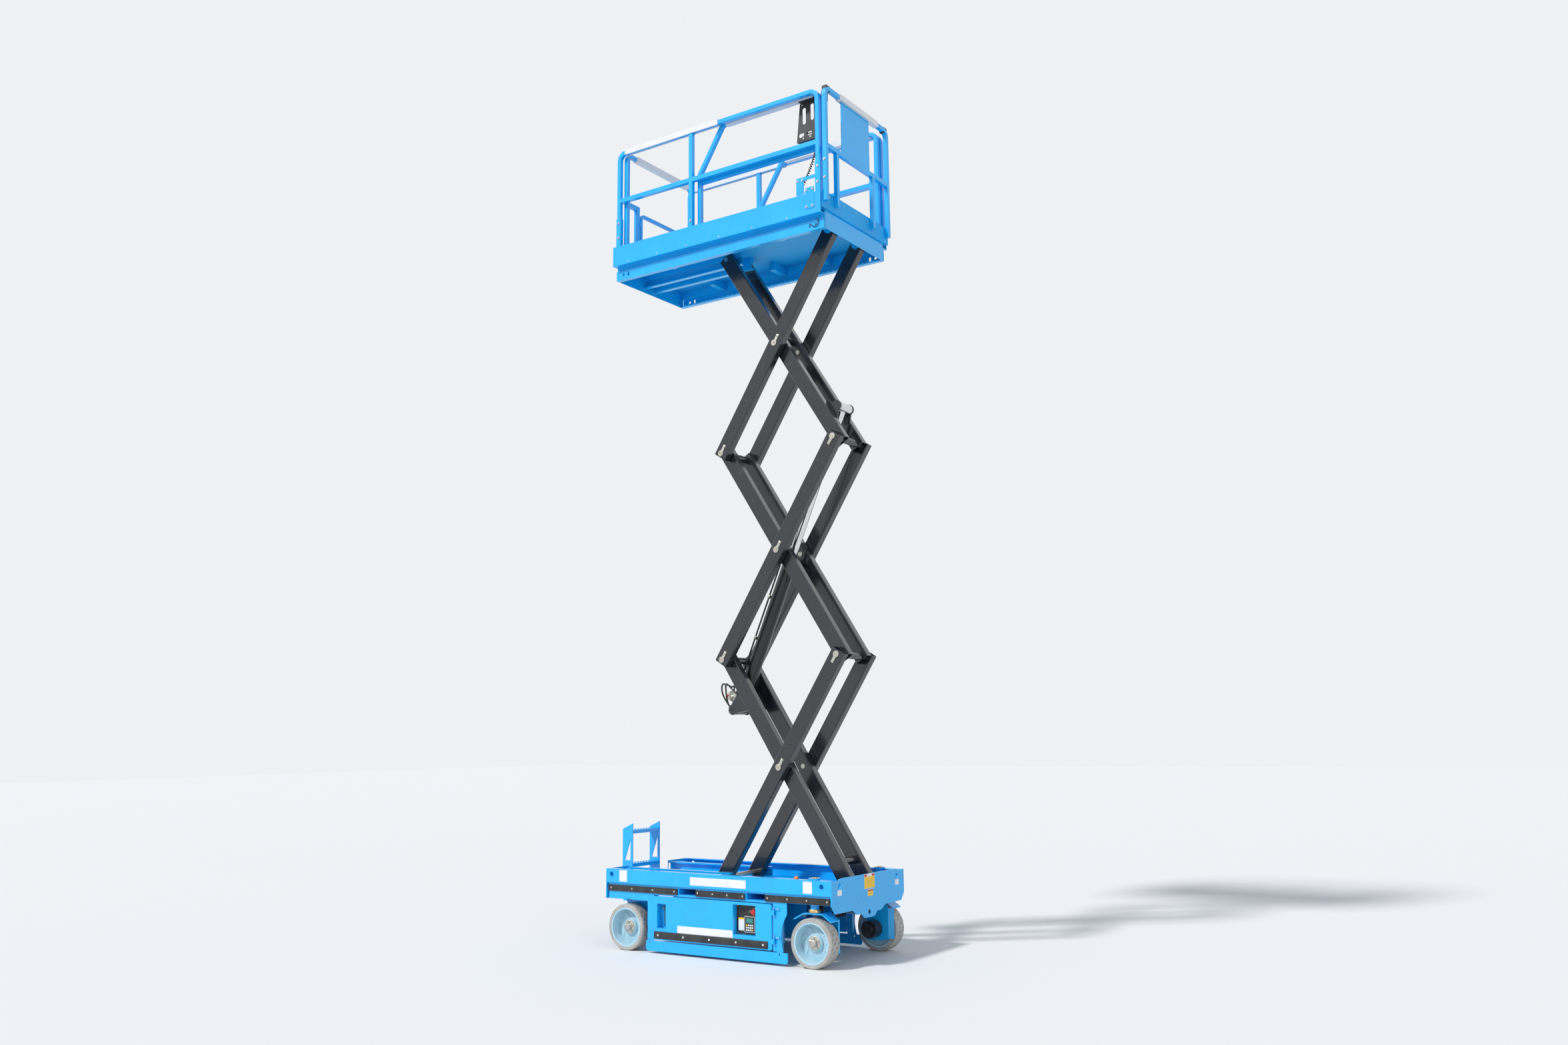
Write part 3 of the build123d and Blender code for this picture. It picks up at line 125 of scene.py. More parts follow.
# The camera at the photograph's place: metres from the middle of the wheelbase, degrees and millimetres
CAMERA_SPOT = (6.7056, -9.4610, 1.7709)
CAMERA_YAW = 33.907
CAMERA_PITCH = 9.153
CAMERA_ROLL = -0.66
CAMERA_LENS = 30.477

# Edges flatter than this are shaded smooth, and points of a spun shape nearer than this in metres are one
SMOOTH_BELOW = math.radians(38)
MERGE_WITHIN = 1e-5


def arm_spot(kind, stage, station, offset=0.0):
    """A point on an arm in side view: station from its lower pin, offset square to it."""
    way = 1 if kind == "outer" else -1
    run, rise = way * math.cos(math.radians(RISE_ANGLE)), math.sin(math.radians(RISE_ANGLE))
    foot_x = SLIDE_X if kind == "outer" else PIVOT_X
    foot_z = PIVOT_Z + (stage - 1) * STAGE_RISE
    return foot_x + station * run + offset * rise, foot_z + station * rise - offset * run


FOOT = arm_spot("inner", 1, ARM_REACH - 356, -229)
HEAD = arm_spot("inner", 3, 283, 117)
CYLINDER_TURN = math.atan2(HEAD[0] - FOOT[0], HEAD[1] - FOOT[1])
CYLINDER_WAY = (math.sin(CYLINDER_TURN), 0, math.cos(CYLINDER_TURN))


def along_barrel(distance, offset, y):
    """A point beside the lift cylinder: distance from its foot, offset towards the front."""
    return (FOOT[0] + CYLINDER_WAY[0] * distance + CYLINDER_WAY[2] * offset, y,
            FOOT[1] + CYLINDER_WAY[2] * distance - CYLINDER_WAY[0] * offset)


# Settings that a user would change
class LiftPaint(bpy.types.PropertyGroup):
    """Colours of the machine and what use has done to its paint"""
    body: bpy.props.FloatVectorProperty(
        name="Body paint", description="Colour of chassis, rails and platform",
        subtype="COLOR", size=3, min=0, max=1, default=(0.0, 0.44, 0.95))
    arms: bpy.props.FloatVectorProperty(
        name="Arm paint", description="Colour of the scissor arms",
        subtype="COLOR", size=3, min=0, max=1, default=(0.009, 0.012, 0.017))
    rims: bpy.props.FloatVectorProperty(
        name="Rim paint", description="Colour of the wheel rims",
        subtype="COLOR", size=3, min=0, max=1, default=(0.42, 0.65, 0.76))
    tyres: bpy.props.FloatVectorProperty(
        name="Tyre rubber", description="Colour of the non-marking tyres",
        subtype="COLOR", size=3, min=0, max=1, default=(0.45, 0.44, 0.41))
    dust: bpy.props.FloatProperty(
        name="Dust", description="How much dust lies on the paint",
        subtype="FACTOR", min=0, max=1, default=0.12)
    wear: bpy.props.FloatProperty(
        name="Wear", description="How far the paint is scuffed",
        subtype="FACTOR", min=0, max=1, default=0.3)


class LiftFittings(bpy.types.PropertyGroup):
    """Sizes of the fittings"""
    bolt_radius: bpy.props.FloatProperty(
        name="Bolt radius", description="Radius of the hexagon heads on the platform's posts",
        unit="LENGTH", min=0.002, max=0.03, default=0.009)
    hose_radius: bpy.props.FloatProperty(
        name="Hose radius", description="Radius of the hoses and pipes of the lift cylinder",
        unit="LENGTH", min=0.002, max=0.03, default=0.0075)
    tread_steps: bpy.props.IntProperty(
        name="Tread steps", description="Divisions round a tyre", min=48, max=240, default=144)


# Node groups that several finishes share
def link(tree, out, into):
    tree.links.new(out, into)


def noise(tree, vector, scale, detail=4.0, rough=0.55):
    made = tree.nodes.new("ShaderNodeTexNoise")
    made.inputs["Scale"].default_value = scale
    made.inputs["Detail"].default_value = detail
    made.inputs["Roughness"].default_value = rough
    link(tree, vector, made.inputs["Vector"])
    return made.outputs["Fac"]


def ramp(tree, value, low, high):
    """A mask that rises from 0 to 1 between two values."""
    made = tree.nodes.new("ShaderNodeMapRange")
    made.inputs["From Min"].default_value = low
    made.inputs["From Max"].default_value = high
    link(tree, value, made.inputs["Value"])
    return made.outputs["Result"]


def feed(tree, node, items):
    """Put numbers and colours into a node's sockets and link what comes from other nodes."""
    for index, item in items:
        if isinstance(item, (int, float, tuple)):
            node.inputs[index].default_value = item
        else:
            link(tree, item, node.inputs[index])


def maths(tree, kind, first, second):
    made = tree.nodes.new("ShaderNodeMath")
    made.operation = kind
    feed(tree, made, enumerate((first, second)))
    return made.outputs["Value"]


def multiply(tree, first, second):
    return maths(tree, "MULTIPLY", first, second)


def mix_colour(tree, factor, first, second):
    """A mix of two colours; sockets 6 and 7 of the node are its colour pair, and output 2 is the colour."""
    made = tree.nodes.new("ShaderNodeMix")
    made.data_type = "RGBA"
    feed(tree, made, ((0, factor), (6, first), (7, second)))
    return made.outputs[2]


def new_group(name, inputs):
    """A node group with its own inputs and the three outputs that every finish reads."""
    tree = bpy.data.node_groups.new(name, "ShaderNodeTree")
    for label, kind, value in inputs:
        made = tree.interface.new_socket(name=label, in_out="INPUT", socket_type="NodeSocket" + kind)
        made.default_value = value
    for label, kind in (("Colour", "Color"), ("Roughness", "Float"), ("Height", "Float")):
        tree.interface.new_socket(name=label, in_out="OUTPUT", socket_type="NodeSocket" + kind)
    given = tree.nodes.new("NodeGroupInput").outputs
    result = tree.nodes.new("NodeGroupOutput").inputs
    spot = tree.nodes.new("ShaderNodeTexCoord").outputs["Object"]
    return tree, given, result, spot


def build_paint_wear():
    """Colour drift, dust on upward faces, scuffs and orange peel for painted steel."""
    tree, given, result, spot = new_group("Painted steel wear", (
        ("Colour", "Color", (0.5, 0.5, 0.5, 1)),
        ("Scuff Colour", "Color", (0.3, 0.3, 0.3, 1)),
        ("Dust Colour", "Color", (0.45, 0.42, 0.37, 1)),
        ("Dust", "Float", 0.2),
        ("Wear", "Float", 0.3),
        ("Roughness", "Float", 0.3),
        ("Scale", "Float", 1.0),
    ))
    scaled = tree.nodes.new("ShaderNodeVectorMath")
    scaled.operation = "SCALE"
    link(tree, spot, scaled.inputs[0])
    link(tree, given["Scale"], scaled.inputs["Scale"])
    spot = scaled.outputs["Vector"]
    drift = ramp(tree, noise(tree, spot, 2.3, 3), 0.3, 0.75)
    scuffs = ramp(tree, noise(tree, spot, 46.0, 8, 0.72), 0.66, 0.74)
    patches = ramp(tree, noise(tree, spot, 5.0, 5), 0.52, 0.7)
    scuff_mask = multiply(tree, multiply(tree, scuffs, patches), given["Wear"])
    shape = tree.nodes.new("ShaderNodeNewGeometry")
    split = tree.nodes.new("ShaderNodeSeparateXYZ")
    link(tree, shape.outputs["Normal"], split.inputs["Vector"])
    upward = ramp(tree, split.outputs["Z"], -0.2, 1.0)
    film = ramp(tree, noise(tree, spot, 11.0, 6, 0.6), 0.35, 0.8)
    stretch = tree.nodes.new("ShaderNodeMapping")
    stretch.inputs["Scale"].default_value = (26.0, 26.0, 1.6)
    link(tree, spot, stretch.inputs["Vector"])
    streaks = ramp(tree, noise(tree, stretch.outputs["Vector"], 1.0, 4), 0.55, 0.85)
    lying = maths(tree, "ADD", multiply(tree, film, upward), multiply(tree, streaks, 0.25))
    dust_mask = multiply(tree, lying, given["Dust"])
    darker = tree.nodes.new("ShaderNodeHueSaturation")
    darker.inputs["Value"].default_value = 0.86
    link(tree, given["Colour"], darker.inputs["Color"])
    base = mix_colour(tree, drift, darker.outputs["Color"], given["Colour"])
    scuffed = mix_colour(tree, scuff_mask, base, given["Scuff Colour"])
    link(tree, mix_colour(tree, dust_mask, scuffed, given["Dust Colour"]), result["Colour"])
    rougher = given["Roughness"]
    for mask, share in ((dust_mask, 0.5), (scuff_mask, 0.35), (drift, 0.05)):
        rougher = maths(tree, "ADD", rougher, multiply(tree, mask, share))
    link(tree, rougher, result["Roughness"])
    peel = multiply(tree, noise(tree, spot, 240.0, 2), 0.35)
    link(tree, maths(tree, "SUBTRACT", peel, scuff_mask), result["Height"])
    return tree


def build_grime():
    """Speckle and smear for rubber and plastic."""
    tree, given, result, spot = new_group("Rubber and plastic grime", (
        ("Colour", "Color", (0.1, 0.1, 0.1, 1)),
        ("Grime Colour", "Color", (0.3, 0.28, 0.25, 1)),
        ("Grime", "Float", 0.3),
        ("Roughness", "Float", 0.6),
        ("Grain", "Float", 500.0),
    ))
    smear = ramp(tree, noise(tree, spot, 9.0, 6, 0.65), 0.4, 0.75)
    speck = ramp(tree, noise(tree, spot, 120.0, 5, 0.7), 0.55, 0.75)
    mask = multiply(tree, maths(tree, "ADD", smear, multiply(tree, speck, 0.4)), given["Grime"])
    link(tree, mix_colour(tree, mask, given["Colour"], given["Grime Colour"]), result["Colour"])
    link(tree, maths(tree, "ADD", given["Roughness"], multiply(tree, mask, 0.2)), result["Roughness"])
    grain = tree.nodes.new("ShaderNodeTexNoise")
    grain.inputs["Detail"].default_value = 3
    link(tree, spot, grain.inputs["Vector"])
    link(tree, given["Grain"], grain.inputs["Scale"])
    link(tree, grain.outputs["Fac"], result["Height"])
    return tree


def dressed_material(name, group, values, bump, reach=0.0005, metallic=0.0, coat=0.0, coat_rough=0.1,
                     specular=0.5):
    """A material whose colour, roughness and bump come from one shared group."""
    made = bpy.data.materials.new(name)
    made.use_nodes = True
    tree = made.node_tree
    shader = tree.nodes["Principled BSDF"]
    effect = tree.nodes.new("ShaderNodeGroup")
    effect.node_tree = group
    for key, value in values.items():
        effect.inputs[key].default_value = (*value, 1.0) if isinstance(value, tuple) else value
    link(tree, effect.outputs["Colour"], shader.inputs["Base Color"])
    link(tree, effect.outputs["Roughness"], shader.inputs["Roughness"])
    relief = tree.nodes.new("ShaderNodeBump")
    relief.inputs["Strength"].default_value = bump
    relief.inputs["Distance"].default_value = reach
    link(tree, effect.outputs["Height"], relief.inputs["Height"])
    link(tree, relief.outputs["Normal"], shader.inputs["Normal"])
    shader.inputs["Metallic"].default_value = metallic
    shader.inputs["Coat Weight"].default_value = coat
    shader.inputs["Coat Roughness"].default_value = coat_rough
    shader.inputs["Specular IOR Level"].default_value = specular
    return made


# Mesh helpers
def finished(name, bm, finish, body, smooth=False, hides=()):
    """Turn a bmesh in the row frame into a piece that rides on a body."""
    bmesh.ops.recalc_face_normals(bm, faces=bm.faces[:])
    mesh = bpy.data.meshes.new(name)
    bm.to_mesh(mesh)
    bm.free()
    piece = bpy.data.objects.new(name, mesh)
    bpy.context.scene.collection.objects.link(piece)
    for item in finish if isinstance(finish, list) else [finish]:
        mesh.materials.append(FINISHES[item])
    if smooth:
        for face in mesh.polygons:
            face.use_smooth = True
        mesh.set_sharp_from_angle(angle=SMOOTH_BELOW)
    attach(piece, body)
    if hides:
        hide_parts(*hides)
    return piece


def place(x, y, z):
    """A point in millimetres from the middle of the wheelbase, put in the row frame."""
    return Vector((x + 1000 * SHIFT, y, z)) * MM


def paint_faces(verts, material):
    """Give the faces at these vertices a material slot."""
    for face in {face for vert in verts for face in vert.link_faces}:
        face.material_index = material


def bevelled(bm, edges, width):
    bmesh.ops.bevel(bm, geom=edges, offset=width, offset_type="OFFSET", segments=2, profile=0.5,
                    affect="EDGES", material=-1, clamp_overlap=True)


def block(bm, centre, size, round_by=0.0, turn=0.0, material=0):
    """A rounded block in millimetres, turned about the machine's width by an angle."""
    spot = Matrix.Translation(place(*centre)) @ Matrix.Rotation(turn, 4, "Y")
    spread = Matrix.Diagonal((*(value * MM for value in size), 1))
    verts = bmesh.ops.create_cube(bm, size=1.0, matrix=spot @ spread)["verts"]
    paint_faces(verts, material)
    if round_by:
        bevelled(bm, list({edge for vert in verts for edge in vert.link_edges}), round_by * MM)


def bar(bm, start, end, radius, end_radius, sides, round_by=0.0, material=0):
    """A round bar or cone between two points in the row frame, in metres."""
    turn = (end - start).to_track_quat("Z", "Y").to_matrix().to_4x4()
    verts = bmesh.ops.create_cone(bm, cap_ends=True, cap_tris=False, segments=sides, radius1=radius,
                                  radius2=end_radius, depth=(end - start).length,
                                  matrix=Matrix.Translation((start + end) / 2) @ turn)["verts"]
    paint_faces(verts, material)
    if round_by:
        rims = [edge for edge in {edge for vert in verts for edge in vert.link_edges}
                if any(len(face.verts) == sides for face in edge.link_faces)]
        bevelled(bm, rims, round_by)


def rod(bm, start, end, radius, end_radius=None, sides=24, round_by=0.0, material=0):
    """A round bar or cone between two points, in millimetres."""
    end_radius = radius if end_radius is None else end_radius
    bar(bm, place(*start), place(*end), radius * MM, end_radius * MM, sides, round_by * MM, material)


def bolt(bm, spot, way, radius):
    """A hexagon head on its washer, pointing out along way, in millimetres."""
    spot = place(*spot)
    way = Vector(way).normalized()
    radius *= MM
    bar(bm, spot, spot + way * radius * 0.25, radius * 1.35, radius * 1.35, 20)
    bar(bm, spot + way * radius * 0.2, spot + way * radius, radius, radius * 0.94, 6)


def turned(bm, origin, axis, profile, steps=32, material=0):
    """A turned shape: radii and distances along the axis in millimetres, spun into a closed skin."""
    axis = Vector(axis).normalized()
    across = axis.orthogonal().normalized()
    origin = place(*origin)
    spots = [bm.verts.new(origin + axis * distance * MM + across * radius * MM)
             for radius, distance in profile]
    edges = [bm.edges.new(pair) for pair in zip(spots, spots[1:])]
    if profile[0][0] > 0 or profile[-1][0] > 0:
        edges.append(bm.edges.new((spots[-1], spots[0])))
    before = set(bm.faces)
    bmesh.ops.spin(bm, geom=edges, cent=origin, axis=axis, angle=math.tau, steps=steps, use_merge=True,
                   use_duplicate=False)
    made = [face for face in bm.faces if face not in before]
    for face in made:
        face.material_index = material
    verts = list({vert for face in made for vert in face.verts})
    bmesh.ops.remove_doubles(bm, verts=verts, dist=MERGE_WITHIN)


def screw(bm, spot, way, radius, flat, height=2.6, sunk=0, steps=16, material=0):
    """A domed screw head: its radius, the radius of its flat, its height and how deep its foot is sunk."""
    turned(bm, spot, way, ((radius, -sunk), (radius, 1), (flat, height - 0.2), (0, height)), steps, material)


def smooth_line(points, steps=8):
    """Points along a smooth curve through the given ones."""
    ends = [points[0]] + list(points) + [points[-1]]
    line = []
    for before, start, end, after in zip(ends, ends[1:], ends[2:], ends[3:]):
        before, start, end, after = (Vector(item) for item in (before, start, end, after))
        for step in range(steps):
            t = step / steps
            bend = 2 * before - 5 * start + 4 * end - after
            twist = 3 * start - before - 3 * end + after
            line.append(0.5 * (2 * start + (end - before) * t + bend * t * t + twist * t ** 3))
    line.append(Vector(points[-1]))
    return line


def frames(line):
    """Each point of a line with two directions square to it, carried along so that they don't spin."""
    side = None
    for index, point in enumerate(line):
        ahead = (line[min(index + 1, len(line) - 1)] - line[max(index - 1, 0)]).normalized()
        side = ahead.orthogonal() if side is None else side - ahead * side.dot(ahead)
        side.normalize()
        yield point, side, ahead.cross(side)


def add_tube(bm, line, radii, sides=12):
    """A tube along a line in the row frame. radii is one radius or one for each point, in metres."""
    if isinstance(radii, (int, float)):
        radii = [radii] * len(line)
    turns = [math.tau * step / sides for step in range(sides)]
    rings = []
    for (point, side, other), radius in zip(frames(line), radii):
        rings.append([bm.verts.new(point + (side * math.cos(turn) + other * math.sin(turn)) * radius)
                      for turn in turns])
    bm.faces.new(rings[0])
    bm.faces.new(rings[-1])
    for first, second in zip(rings, rings[1:]):
        for step in range(sides):
            after = (step + 1) % sides
            bm.faces.new((first[step], first[after], second[after], second[step]))


def hose(bm, points, radius, sides=12, steps=8):
    """A smooth hose or pipe through points, in millimetres."""
    add_tube(bm, smooth_line([place(*point) for point in points], steps), radius * MM, sides)


# Finishes by name, and what the tables of finishes fill in
FINISHES = {}
PAINT_INPUTS = ("Colour", "Scuff Colour", "Dust Colour", "Dust", "Wear", "Roughness", "Scale")
GRIME_INPUTS = ("Colour", "Grime Colour", "Grime", "Roughness", "Grain")
DUST = (0.50, 0.47, 0.42)
METAL_DIRT = (0.3, 0.27, 0.22)
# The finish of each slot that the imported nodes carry
SLOT_FINISHES = {
    "sky_blue_paint": "sky paint",
    "charcoal_paint": "arm paint",
    "black_paint": "black paint",
    "rim_paint": "rim paint",
    "deck_steel": "deck paint",
    "zinc": "zinc",
    "rod_chrome": "chrome",
    "tyre": "tyre rubber",
    "black_plastic": "black plastic",
    "white_sleeve": "white sleeve",
    "amber": "amber lens",
    "cord_rubber": "hose rubber",
}


# Operators
class LIFT_OT_finishes(bpy.types.Operator):
    """Make the paints, metals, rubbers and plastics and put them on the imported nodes"""
    bl_idname = "lift.finishes"
    bl_label = "Finishes"

    def execute(self, context):
        paint = context.scene.lift_paint
        self.paints_and_metals(paint)
        self.rubbers_and_plastics(paint)
        for part in frame["record"]["subparts"]:
            for slot in NODES[part["node"]].material_slots:
                slot.material = FINISHES[SLOT_FINISHES[part["material_slot"]]]
        return {"FINISHED"}

    def paints_and_metals(self, paint):
        dust = paint.dust
        wear = paint.wear
        group = build_paint_wear()
        gloss = {"coat": 0.35, "coat_rough": 0.12}
        lacquer = {"coat": 0.7, "coat_rough": 0.08}
        metal = {"metallic": 1.0}
        rows = (
            # finish, material, colour, scuffs, dust colour, dust, wear, roughness, scale, bump, other values
            ("sky paint", "Sky blue gloss paint",
             tuple(paint.body), (0.02, 0.12, 0.26), DUST, dust, wear, 0.26, 1.0, 0.06, gloss),
            ("arm paint", "Charcoal gloss paint",
             tuple(paint.arms), (0.16, 0.16, 0.17), (0.3, 0.29, 0.28), dust * 0.5, wear * 0.6, 0.22, 1.2, 0.04,
             lacquer),
            ("black paint", "Black gloss paint",
             (0.012, 0.012, 0.013), (0.1, 0.1, 0.1), (0.25, 0.24, 0.22), dust, wear, 0.3, 1.5, 0.06,
             {"coat": 0.2}),
            ("rim paint", "Pale blue rim paint",
             tuple(paint.rims), (0.12, 0.2, 0.26), DUST, 0.5, 0.5, 0.42, 3.0, 0.08, {}),
            ("deck paint", "Deck paint",
             (0.0, 0.38, 0.85), (0.1, 0.16, 0.22), DUST, 0.2, 0.5, 0.5, 1.4, 0.1, {}),
            ("zinc", "Zinc plate",
             (0.62, 0.60, 0.54), (0.3, 0.28, 0.24), METAL_DIRT, 0.3, 0.6, 0.3, 6.0, 0.08, metal),
            ("brass", "Yellow zinc",
             (0.68, 0.48, 0.2), (0.3, 0.22, 0.1), METAL_DIRT, 0.3, 0.5, 0.32, 6.0, 0.08, metal),
            ("chrome", "Hard chrome",
             (0.78, 0.79, 0.8), (0.4, 0.4, 0.4), (0.4, 0.38, 0.35), 0.06, 0.2, 0.08, 4.0, 0.02, metal),
        )
        for finish, name, *values, bump, more in rows:
            FINISHES[finish] = dressed_material(name, group, dict(zip(PAINT_INPUTS, values)), bump, **more)

    def rubbers_and_plastics(self, paint):
        group = build_grime()
        rows = (
            # finish, material, colour, grime colour, grime, roughness, grain, bump, other values
            ("tyre rubber", "Grey tyre rubber",
             tuple(paint.tyres), (0.16, 0.15, 0.13), 0.5, 0.72, 420.0, 0.25, {"reach": 0.0008, "specular": 0.3}),
            ("black plastic", "Black moulded plastic",
             (0.014, 0.014, 0.015), (0.12, 0.115, 0.11), 0.35, 0.48, 700.0, 0.18, {}),
            ("hose rubber", "Hose rubber",
             (0.012, 0.012, 0.012), (0.1, 0.095, 0.09), 0.3, 0.42, 900.0, 0.15, {}),
            ("white sleeve", "White rail sleeve",
             (0.74, 0.75, 0.77), (0.36, 0.35, 0.33), 0.22, 0.38, 300.0, 0.08, {}),
            ("amber lens", "Amber lens",
             (0.85, 0.2, 0.01), (0.4, 0.2, 0.05), 0.2, 0.16, 200.0, 0.05, {"coat": 0.6}),
            ("red plastic", "Red moulded plastic",
             (0.55, 0.012, 0.01), (0.2, 0.05, 0.04), 0.25, 0.3, 500.0, 0.08, {"coat": 0.3}),
            ("yellow sign", "Yellow sign face",
             (0.85, 0.55, 0.02), (0.4, 0.33, 0.15), 0.3, 0.35, 250.0, 0.05, {}),
            ("white sign", "White sign face",
             (0.78, 0.79, 0.8), (0.42, 0.42, 0.4), 0.3, 0.35, 250.0, 0.05, {}),
            ("grey plastic", "Grey moulded plastic",
             (0.33, 0.34, 0.35), (0.14, 0.13, 0.12), 0.3, 0.42, 600.0, 0.12, {}),
            ("teal screen", "Teal screen",
             (0.02, 0.22, 0.2), (0.1, 0.15, 0.14), 0.2, 0.12, 200.0, 0.02, {"coat": 0.5}),
        )
        for finish, name, *values, bump, more in rows:
            FINISHES[finish] = dressed_material(name, group, dict(zip(GRIME_INPUTS, values)), bump, **more)


# Sipes round the tread: for each band across, the first step and how often one comes
SIPES = ((4, 8), (0, 8), (1, 8), (4, 8), (5, 8), (0, 8))
SIPE_RADIUS = 0.189
SIPE_REACH = 0.05
SIPE_BAND = 0.0166
SIPE_WALL = 0.0021
SIPE_DEPTH = 0.0035


class LIFT_OT_tyres(bpy.types.Operator):
    """Model the solid tyres with their zig-zag sipes, whose floors are painted near-black as painted shade"""
    bl_idname = "lift.tyres"
    bl_label = "Tyres"

    def execute(self, context):
        steps = context.scene.lift_fittings.tread_steps
        half = TYRE_WIDTH / 2
        flank = (
            # radius, distance in from the tyre's side
            (0.1602, 0), (0.166, 0), (0.168, 0.002), (0.176, 0.002), (0.178, 0), (0.182, 0.001),
            (0.1875, 0.006), (TYRE_RADIUS, 0.014), (TYRE_RADIUS, half - 0.034), (TYRE_RADIUS, half - 0.018),
            (TYRE_RADIUS, half - 0.0015),
        )
        outline = [(radius, inwards - half) for radius, inwards in flank]
        outline += [(radius, half - inwards) for radius, inwards in reversed(flank)]
        for name, x, side in WHEELS:
            bm = bmesh.new()
            centre = Vector((x + SHIFT, side * WHEEL_Y, TYRE_RADIUS))
            ring = [bm.verts.new(centre + Vector((radius, across, 0))) for radius, across in outline]
            edges = [bm.edges.new(pair) for pair in zip(ring, ring[1:] + ring[:1])]
            bmesh.ops.spin(bm, geom=edges, cent=centre, axis=(0, 1, 0), angle=math.tau, steps=steps,
                           use_merge=True, use_duplicate=False)
            bmesh.ops.remove_doubles(bm, verts=bm.verts[:], dist=MERGE_WITHIN)
            self.cut_sipes(bm, centre, steps)
            # The second finish, near-black rubber, is painted shade on the sunk floors of the sipes
            finished(f"tyre_tread_{name}", bm, ["tyre rubber", "hose rubber"], f"wheel_{name}",
                     smooth=True, hides=(f"tyre_{name}",))
        return {"FINISHED"}

    def cut_sipes(self, bm, centre, steps):
        sipes = []
        for face in bm.faces:
            middle = face.calc_center_median() - centre
            if math.hypot(middle.x, middle.z) < SIPE_RADIUS or abs(middle.y) > SIPE_REACH:
                continue
            turn = round((math.atan2(middle.z, middle.x) % math.tau) / (math.tau / steps) - 0.5)
            band = math.floor((middle.y + SIPE_REACH) / SIPE_BAND)
            first, every = SIPES[min(band, len(SIPES) - 1)]
            if turn % every == first:
                sipes.append(face)
        bmesh.ops.inset_individual(bm, faces=sipes, thickness=SIPE_WALL, depth=0.0)
        # Each sipe's floor is sunk and given near-black rubber: painted shade in the cut
        for face in sipes:
            face.material_index = 1
            for vert in face.verts:
                away = vert.co - centre
                away.y = 0
                vert.co -= away.normalized() * SIPE_DEPTH


class LIFT_OT_hubs(bpy.types.Operator):
    """Add the hub flanges, studs, nuts and the pressed ribs in the rims"""
    bl_idname = "lift.hubs"
    bl_label = "Hubs"

    def execute(self, context):
        for name, x, side in WHEELS:
            self.hub(name, 1000 * x, side)
            self.ribs(name, 1000 * x, side)
        return {"FINISHED"}

    def out(self, x, side, distance, across=0.0, up=0.0):
        """A point of a wheel: distance out from the hub's seat, then across and up from its middle."""
        return x + across, side * (1000 * WHEEL_Y + 10 + distance), 1000 * TYRE_RADIUS + up

    def hub(self, name, x, side):
        bm = bmesh.new()
        for inner, outer, radius, end_radius, sides, bevel in (
                (-2, 4, 55, 55, 48, 1.2), (4, 11, 31, 27, 40, 1), (11, 24, 31, 31, 6, 1.2)):
            rod(bm, self.out(x, side, inner), self.out(x, side, outer), radius, end_radius, sides, bevel)
        turned(bm, self.out(x, side, 24), (0, side, 0), (
            (0, 8.5), (20, 8.5), (25.5, 6), (25.5, 0), (0, 0)), 40)
        rod(bm, self.out(x, side, 28, 0, -33), self.out(x, side, 28, 0, 33), 2.2, sides=8)
        for stud in range(5):
            angle = math.tau * stud / 5 + 0.35
            across, up = 43 * math.cos(angle), 43 * math.sin(angle)
            for inner, outer, radius, sides in ((4, 11, 9, 6), (11, 19, 5, 16)):
                rod(bm, self.out(x, side, inner, across, up), self.out(x, side, outer, across, up), radius,
                    sides=sides, round_by=0.8)
        finished(f"hub_trim_{name}", bm, "zinc", f"wheel_{name}", smooth=True)

    def ribs(self, name, x, side):
        bm = bmesh.new()
        half_girth = [0.0015, 0.0045, 0.006, 0.0065]
        for rib in range(10):
            line = []
            for step in range(9):
                share = step / 8
                radius = 82 + 52 * share
                angle = math.tau * rib / 10 + 0.34 * share * share
                depth = -18 - 10 * (radius - 75) / 63
                line.append(place(*self.out(x, side, depth - 0.5, radius * math.cos(angle),
                                            radius * math.sin(angle))))
            add_tube(bm, line, half_girth + [0.0065] + half_girth[::-1])
        for radius, depth in ((146, 48), (66, -6)):
            turned(bm, self.out(x, side, depth), (0, side, 0), (
                (radius, -1), (radius + 4, -1), (radius + 4, 1.5), (radius + 2, 3), (radius, 1.5)), 64)
        finished(f"rim_ribs_{name}", bm, "rim paint", f"wheel_{name}", smooth=True)


